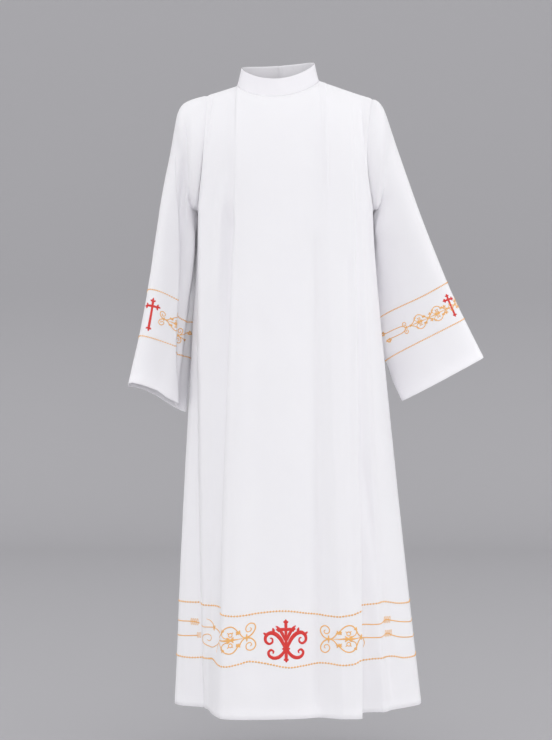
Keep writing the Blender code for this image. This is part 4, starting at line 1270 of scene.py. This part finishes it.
print("alb: sleeve embroidery")
sleeveBand = {"pitch": 0.0044, "beadLength": 0.0034, "beadWidth": 0.0038, "thread": 0.0008, "thick": 0.74,
              "chain": 2.0, "foldAt": 20, "crossLeast": 0.55, "crossMore": 0.45}
Place = namedtuple("Place", "pattern x y turn scale")      # on the sleeve's spine, in millimetres
sleeveTables = {
    "left": {
        "top": ((-0.21, 0.2235), (-0.10, 0.2225), (0.0, 0.2232), (0.026, 0.2239), (0.062, 0.2274),
                (0.0900, 0.2280), (0.1000, 0.2262), (0.1035, 0.2100), (0.1085, 0.2010), (0.1561, 0.1930),
                (0.195, 0.2050), (0.245, 0.2235)),
        "low": ((-0.215, 0.1135), (-0.10, 0.1140), (0.0, 0.1145), (0.026, 0.1149), (0.069, 0.1189),
                (0.1000, 0.1212), (0.1100, 0.1205), (0.1140, 0.1100), (0.180, 0.1165), (0.2271, 0.1250),
                (0.25, 0.1135)),
        "spine": ((-250, -0.205, 0.169), (-40, 0.0075, 0.1690), (0, 0.0475, 0.1690), (36, 0.0836, 0.1711),
                  (53, 0.1000, 0.1718), (58, 0.1045, 0.1718), (60, 0.1065, 0.1560), (75, 0.1215, 0.1530),
                  (110, 0.158, 0.157), (150, 0.1975, 0.1695), (185, 0.230, 0.1700)),
        "cross": (0.0413, 0.1880, 0.128, 1.0),      # around, height of the crossing, tilt, size
        "backStart": -32,      # where the mirrored pattern starts
        "places": (Place("scrolls", 24, 0, 0, 0.52), Place("halfOval", 48, 0, 0, 0.52),
                   Place("scrolls", 89, 0, 180, 0.58), Place("knots", 150, 0, 0, 1.3)),
        "chain": (((91, 1), (109, 6), (124, 8), (148, 8)), ((91, -1), (109, -6), (124, -8), (148, -8))),
    },
    "right": {
        "top": ((-0.25, 0.1990), (-0.12, 0.1965), (0.0, 0.1945), (0.0816, 0.1947), (0.1538, 0.2013),
                (0.20, 0.2040), (0.26, 0.2020)),
        "low": ((-0.25, 0.1030), (-0.12, 0.1015), (0.0124, 0.1009), (0.0812, 0.1024), (0.1625, 0.1052),
                (0.21, 0.1060), (0.26, 0.1040)),
        "spine": ((-250, -0.215, 0.152), (-60, -0.0265, 0.1440), (0, 0.0333, 0.1402), (13.4, 0.0467, 0.1417),
                  (60, 0.0934, 0.1431), (82.4, 0.1157, 0.1459), (120, 0.1531, 0.1496), (191, 0.2246, 0.1545),
                  (230, 0.262, 0.155)),
        "cross": (0.0325, 0.1585, 0.15, 0.74),
        "backStart": 0,
        "places": (Place("oval", 35.7, 0, 0, 0.57), Place("oval", 82.4, 0, 0, 0.57),
                   Place("link", 60, 0, 0, 1.0), Place("link", 9, 0, 180, 1.0),
                   Place("scrolls", 119, 0, 180, 0.46), Place("knots", 187, 0, 0, 1.3)),
        "chain": (((106, 0), (113, 0), (120, 0)), ((122, 2), (130, 6.5), (140, 8), (184, 8)),
                  ((122, -2), (130, -6.5), (140, -8), (184, -8)), ((-12, 0), (0, 0), (12, 0))),
    },
}


def sleevePatterns(kind):
    if kind == "oval":
        return moved(oval(), thick=sleeveBand["thick"])
    if kind == "halfOval":      # the rest of it is under the fold
        kept = [(piece, piece.points[:, 0] < sleeveBand["foldAt"]) for piece in oval()]
        clear = [Stroke(piece.points[near], piece.widths[near], piece.closed) for piece, near in kept
                 if near.sum() > 1]
        return moved(clear, thick=sleeveBand["thick"])
    if kind == "scrolls":
        return moved(scrolls(), at=(45, 0), thick=sleeveBand["thick"])
    if kind == "link":      # crossing lines and leaves between two ovals
        half = [stroke(((-13, 9), (-5, 4), (4, -3), (13, -9)), 1.5)]
        half += moved(sprig(6, 3.2), at=(-6, 6), turn=100) + moved(leaf(6, 3), at=(6, 5), turn=60)
        return half + moved(half, flip=-1)
    high = moved(knot(), at=(1.5, 7), turn=180)
    return high + moved(knot(), at=(-8, -8.5), turn=180)


def sewSleeve(side, cloth):
    tables = sleeveTables[side]
    goldWork, redWork = Needlework(cloth), Needlework(cloth)
    for table in (tables["top"], tables["low"]):
        goldWork.beadLine(table, sleeveBand)
    for mirror, start in ((1, 0), (-1, tables["backStart"])):      # the same pattern goes round the back
        strokes = []
        for place in tables["places"]:
            strokes += moved(sleevePatterns(place.pattern), at=(place.x, place.y), turn=place.turn,
                             scale=place.scale)
        strokes += [stroke(points, sleeveBand["chain"]) for points in tables["chain"]]
        goldWork.sew(moved(strokes, at=(start, 0), mirror=mirror), tables["spine"])
    around, height, tilt, size = tables["cross"]
    thick = sleeveBand["crossLeast"] + sleeveBand["crossMore"] * size      # a small cross isn't too thin
    cross = moved(buddedCross(up=10.5, down=50, arm=11, line=5.8, bud=9), scale=size, thick=thick)
    redWork.sew(cross, flatSpine(around, height, tilt))
    name = "albSleeve" + side.capitalize()
    return goldWork.build(name + "Gold", goldThread), redWork.build(name + "Red", redThread)


leftSleeveGold, leftSleeveRed = sewSleeve("left", leftSleeve)
rightSleeveGold, rightSleeveRed = sewSleeve("right", rightSleeve)
frontGoldPiece = frontGold.build("albFrontGold", goldThread)
frontRedPiece = frontRed.build("albFrontRed", redThread)
backRightGoldPiece = backRightGold.build("albBackRightGold", goldThread)
backLeftGoldPiece = backLeftGold.build("albBackLeftGold", goldThread)

print("alb: stitching")
stitch = {"pitch": 0.0032, "beadLength": 0.0026, "beadWidth": 0.0005, "hem": 0.0255}
for name, cloth in (("albFront", frontCloth), ("albBackRight", backRightCloth),
                    ("albBackLeft", backLeftCloth), ("albSleeveLeft", leftSleeve),
                    ("albSleeveRight", rightSleeve)):
    work = Needlework(cloth)
    low, high = cloth.reach(stitch["hem"])
    work.beadLine([(around, stitch["hem"]) for around in (low, (low + high) / 2, high)], stitch)
    work.build(name + "Stitches", whiteThread)

print("alb: collar button")
# The cutter of the dish is a flattened ball of radius bowl; the loops of thread are flattened rings.
button = {"radius": 0.0055, "thickness": 0.0024, "rim": 0.0006, "bowl": 0.0088, "bowlFlat": 0.28,
          "dishDeep": 0.0005, "hole": 0.00075, "holeOut": 0.0013, "holeDepth": 0.01,
          "loop": 0.0018, "loopFlat": 0.62, "thread": 0.0006, "sharpAngle": 35}
plasticLook = {"light": (0.86, 0.86, 0.88), "dark": (0.80, 0.80, 0.83), "roughness": 0.24,
               "coat": 0.3, "clouds": 900.0, "grain": 0.00004, "relief": 0.3}


def plasticMaterial(name, look):
    made, tree, shader = newMaterial(name)
    space = node(tree, "ShaderNodeTexCoord").outputs["Object"]
    noise = node(tree, "ShaderNodeTexNoise", {"Vector": space, "Scale": look["clouds"], "Detail": 3.0})
    clouds = noise.outputs["Fac"]
    grain = bump(tree, clouds, look["relief"], look["grain"])
    setShader(tree, shader, {"Base Color": twoTone(tree, clouds, look), "Normal": grain},
              {"Roughness": look["roughness"], "Coat Weight": look["coat"]})
    return made


def applyAll(made):
    bpy.ops.object.select_all(action="DESELECT")
    made.select_set(True)
    bpy.context.view_layer.objects.active = made
    for modifier in list(made.modifiers):
        bpy.ops.object.modifier_apply(modifier=modifier.name)


def buttonDisc():
    # lies flat at the origin, face up, with a shallow dish and four holes
    bpy.ops.object.select_all(action="DESELECT")
    bpy.ops.mesh.primitive_cylinder_add(vertices=64, radius=button["radius"], depth=button["thickness"])
    disc = bpy.context.object
    disc.name = "albCollarButton"
    rim = disc.modifiers.new("rim", "BEVEL")
    rim.width = button["rim"]
    rim.segments = 4
    rim.limit_method = "ANGLE"
    bpy.ops.mesh.primitive_uv_sphere_add(segments=64, ring_count=32, radius=button["bowl"])
    cutters = [bpy.context.object]
    cutters[0].scale.z = button["bowlFlat"]
    bowlHeight = button["bowl"] * button["bowlFlat"]
    cutters[0].location.z = button["thickness"] / 2 + bowlHeight - button["dishDeep"]
    for x in (-button["holeOut"], button["holeOut"]):
        for y in (-button["holeOut"], button["holeOut"]):
            bpy.ops.mesh.primitive_cylinder_add(vertices=24, radius=button["hole"],
                                                depth=button["holeDepth"], location=(x, y, 0))
            cutters.append(bpy.context.object)
    for cutter in cutters:
        cut = disc.modifiers.new("cut", "BOOLEAN")
        cut.operation = "DIFFERENCE"
        cut.solver = "EXACT"
        cut.object = cutter
    applyAll(disc)
    for cutter in cutters:
        bpy.data.objects.remove(cutter)
    return disc


def buttonThread():
    # two crossed loops through the holes, half above the button and half behind it
    bpy.ops.object.select_all(action="DESELECT")
    loops = []
    for turn in (45, 135):
        bpy.ops.mesh.primitive_torus_add(major_segments=40, minor_segments=8, major_radius=button["loop"],
                                         minor_radius=button["thread"] / 2,
                                         rotation=(radians(90), 0, radians(turn)))
        loops.append(bpy.context.object)
        loops[-1].scale.y = button["loopFlat"]
    for loop in loops:
        loop.select_set(True)
    bpy.context.view_layer.objects.active = loops[0]
    bpy.ops.object.transform_apply(location=False, rotation=True, scale=True)
    bpy.ops.object.join()
    loops[0].name = "albButtonThread"
    return loops[0]


buttonLow, buttonHigh = (Vector(corner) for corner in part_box("collar_button"))
buttonOut = Vector(collarBand.normals[2, -2:].mean(axis=0))      # away from the band's lapped end
buttonTurn = buttonOut.to_track_quat("Z", "Y").to_matrix().to_4x4()
buttonPlace = Matrix.Translation((buttonLow + buttonHigh) / 2) @ buttonTurn
buttonPiece, threadPiece = buttonDisc(), buttonThread()
plastic = plasticMaterial("buttonPlastic", plasticLook)
for made, material in ((buttonPiece, plastic), (threadPiece, whiteThread)):
    made.data.transform(buttonPlace)
    made.data.materials.clear()
    made.data.materials.append(material)
    made.data.shade_smooth()
    made.data.set_sharp_from_angle(angle=radians(button["sharpAngle"]))
    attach(made, "root")
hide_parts("collar_button")

print("alb: sheets")
# The cut of each sheet, as it would lie flat: width, length and area, in metres and square metres.
Sheet = namedtuple("Sheet", "piece width length area held hangsFrom sewnOn")

low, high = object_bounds()
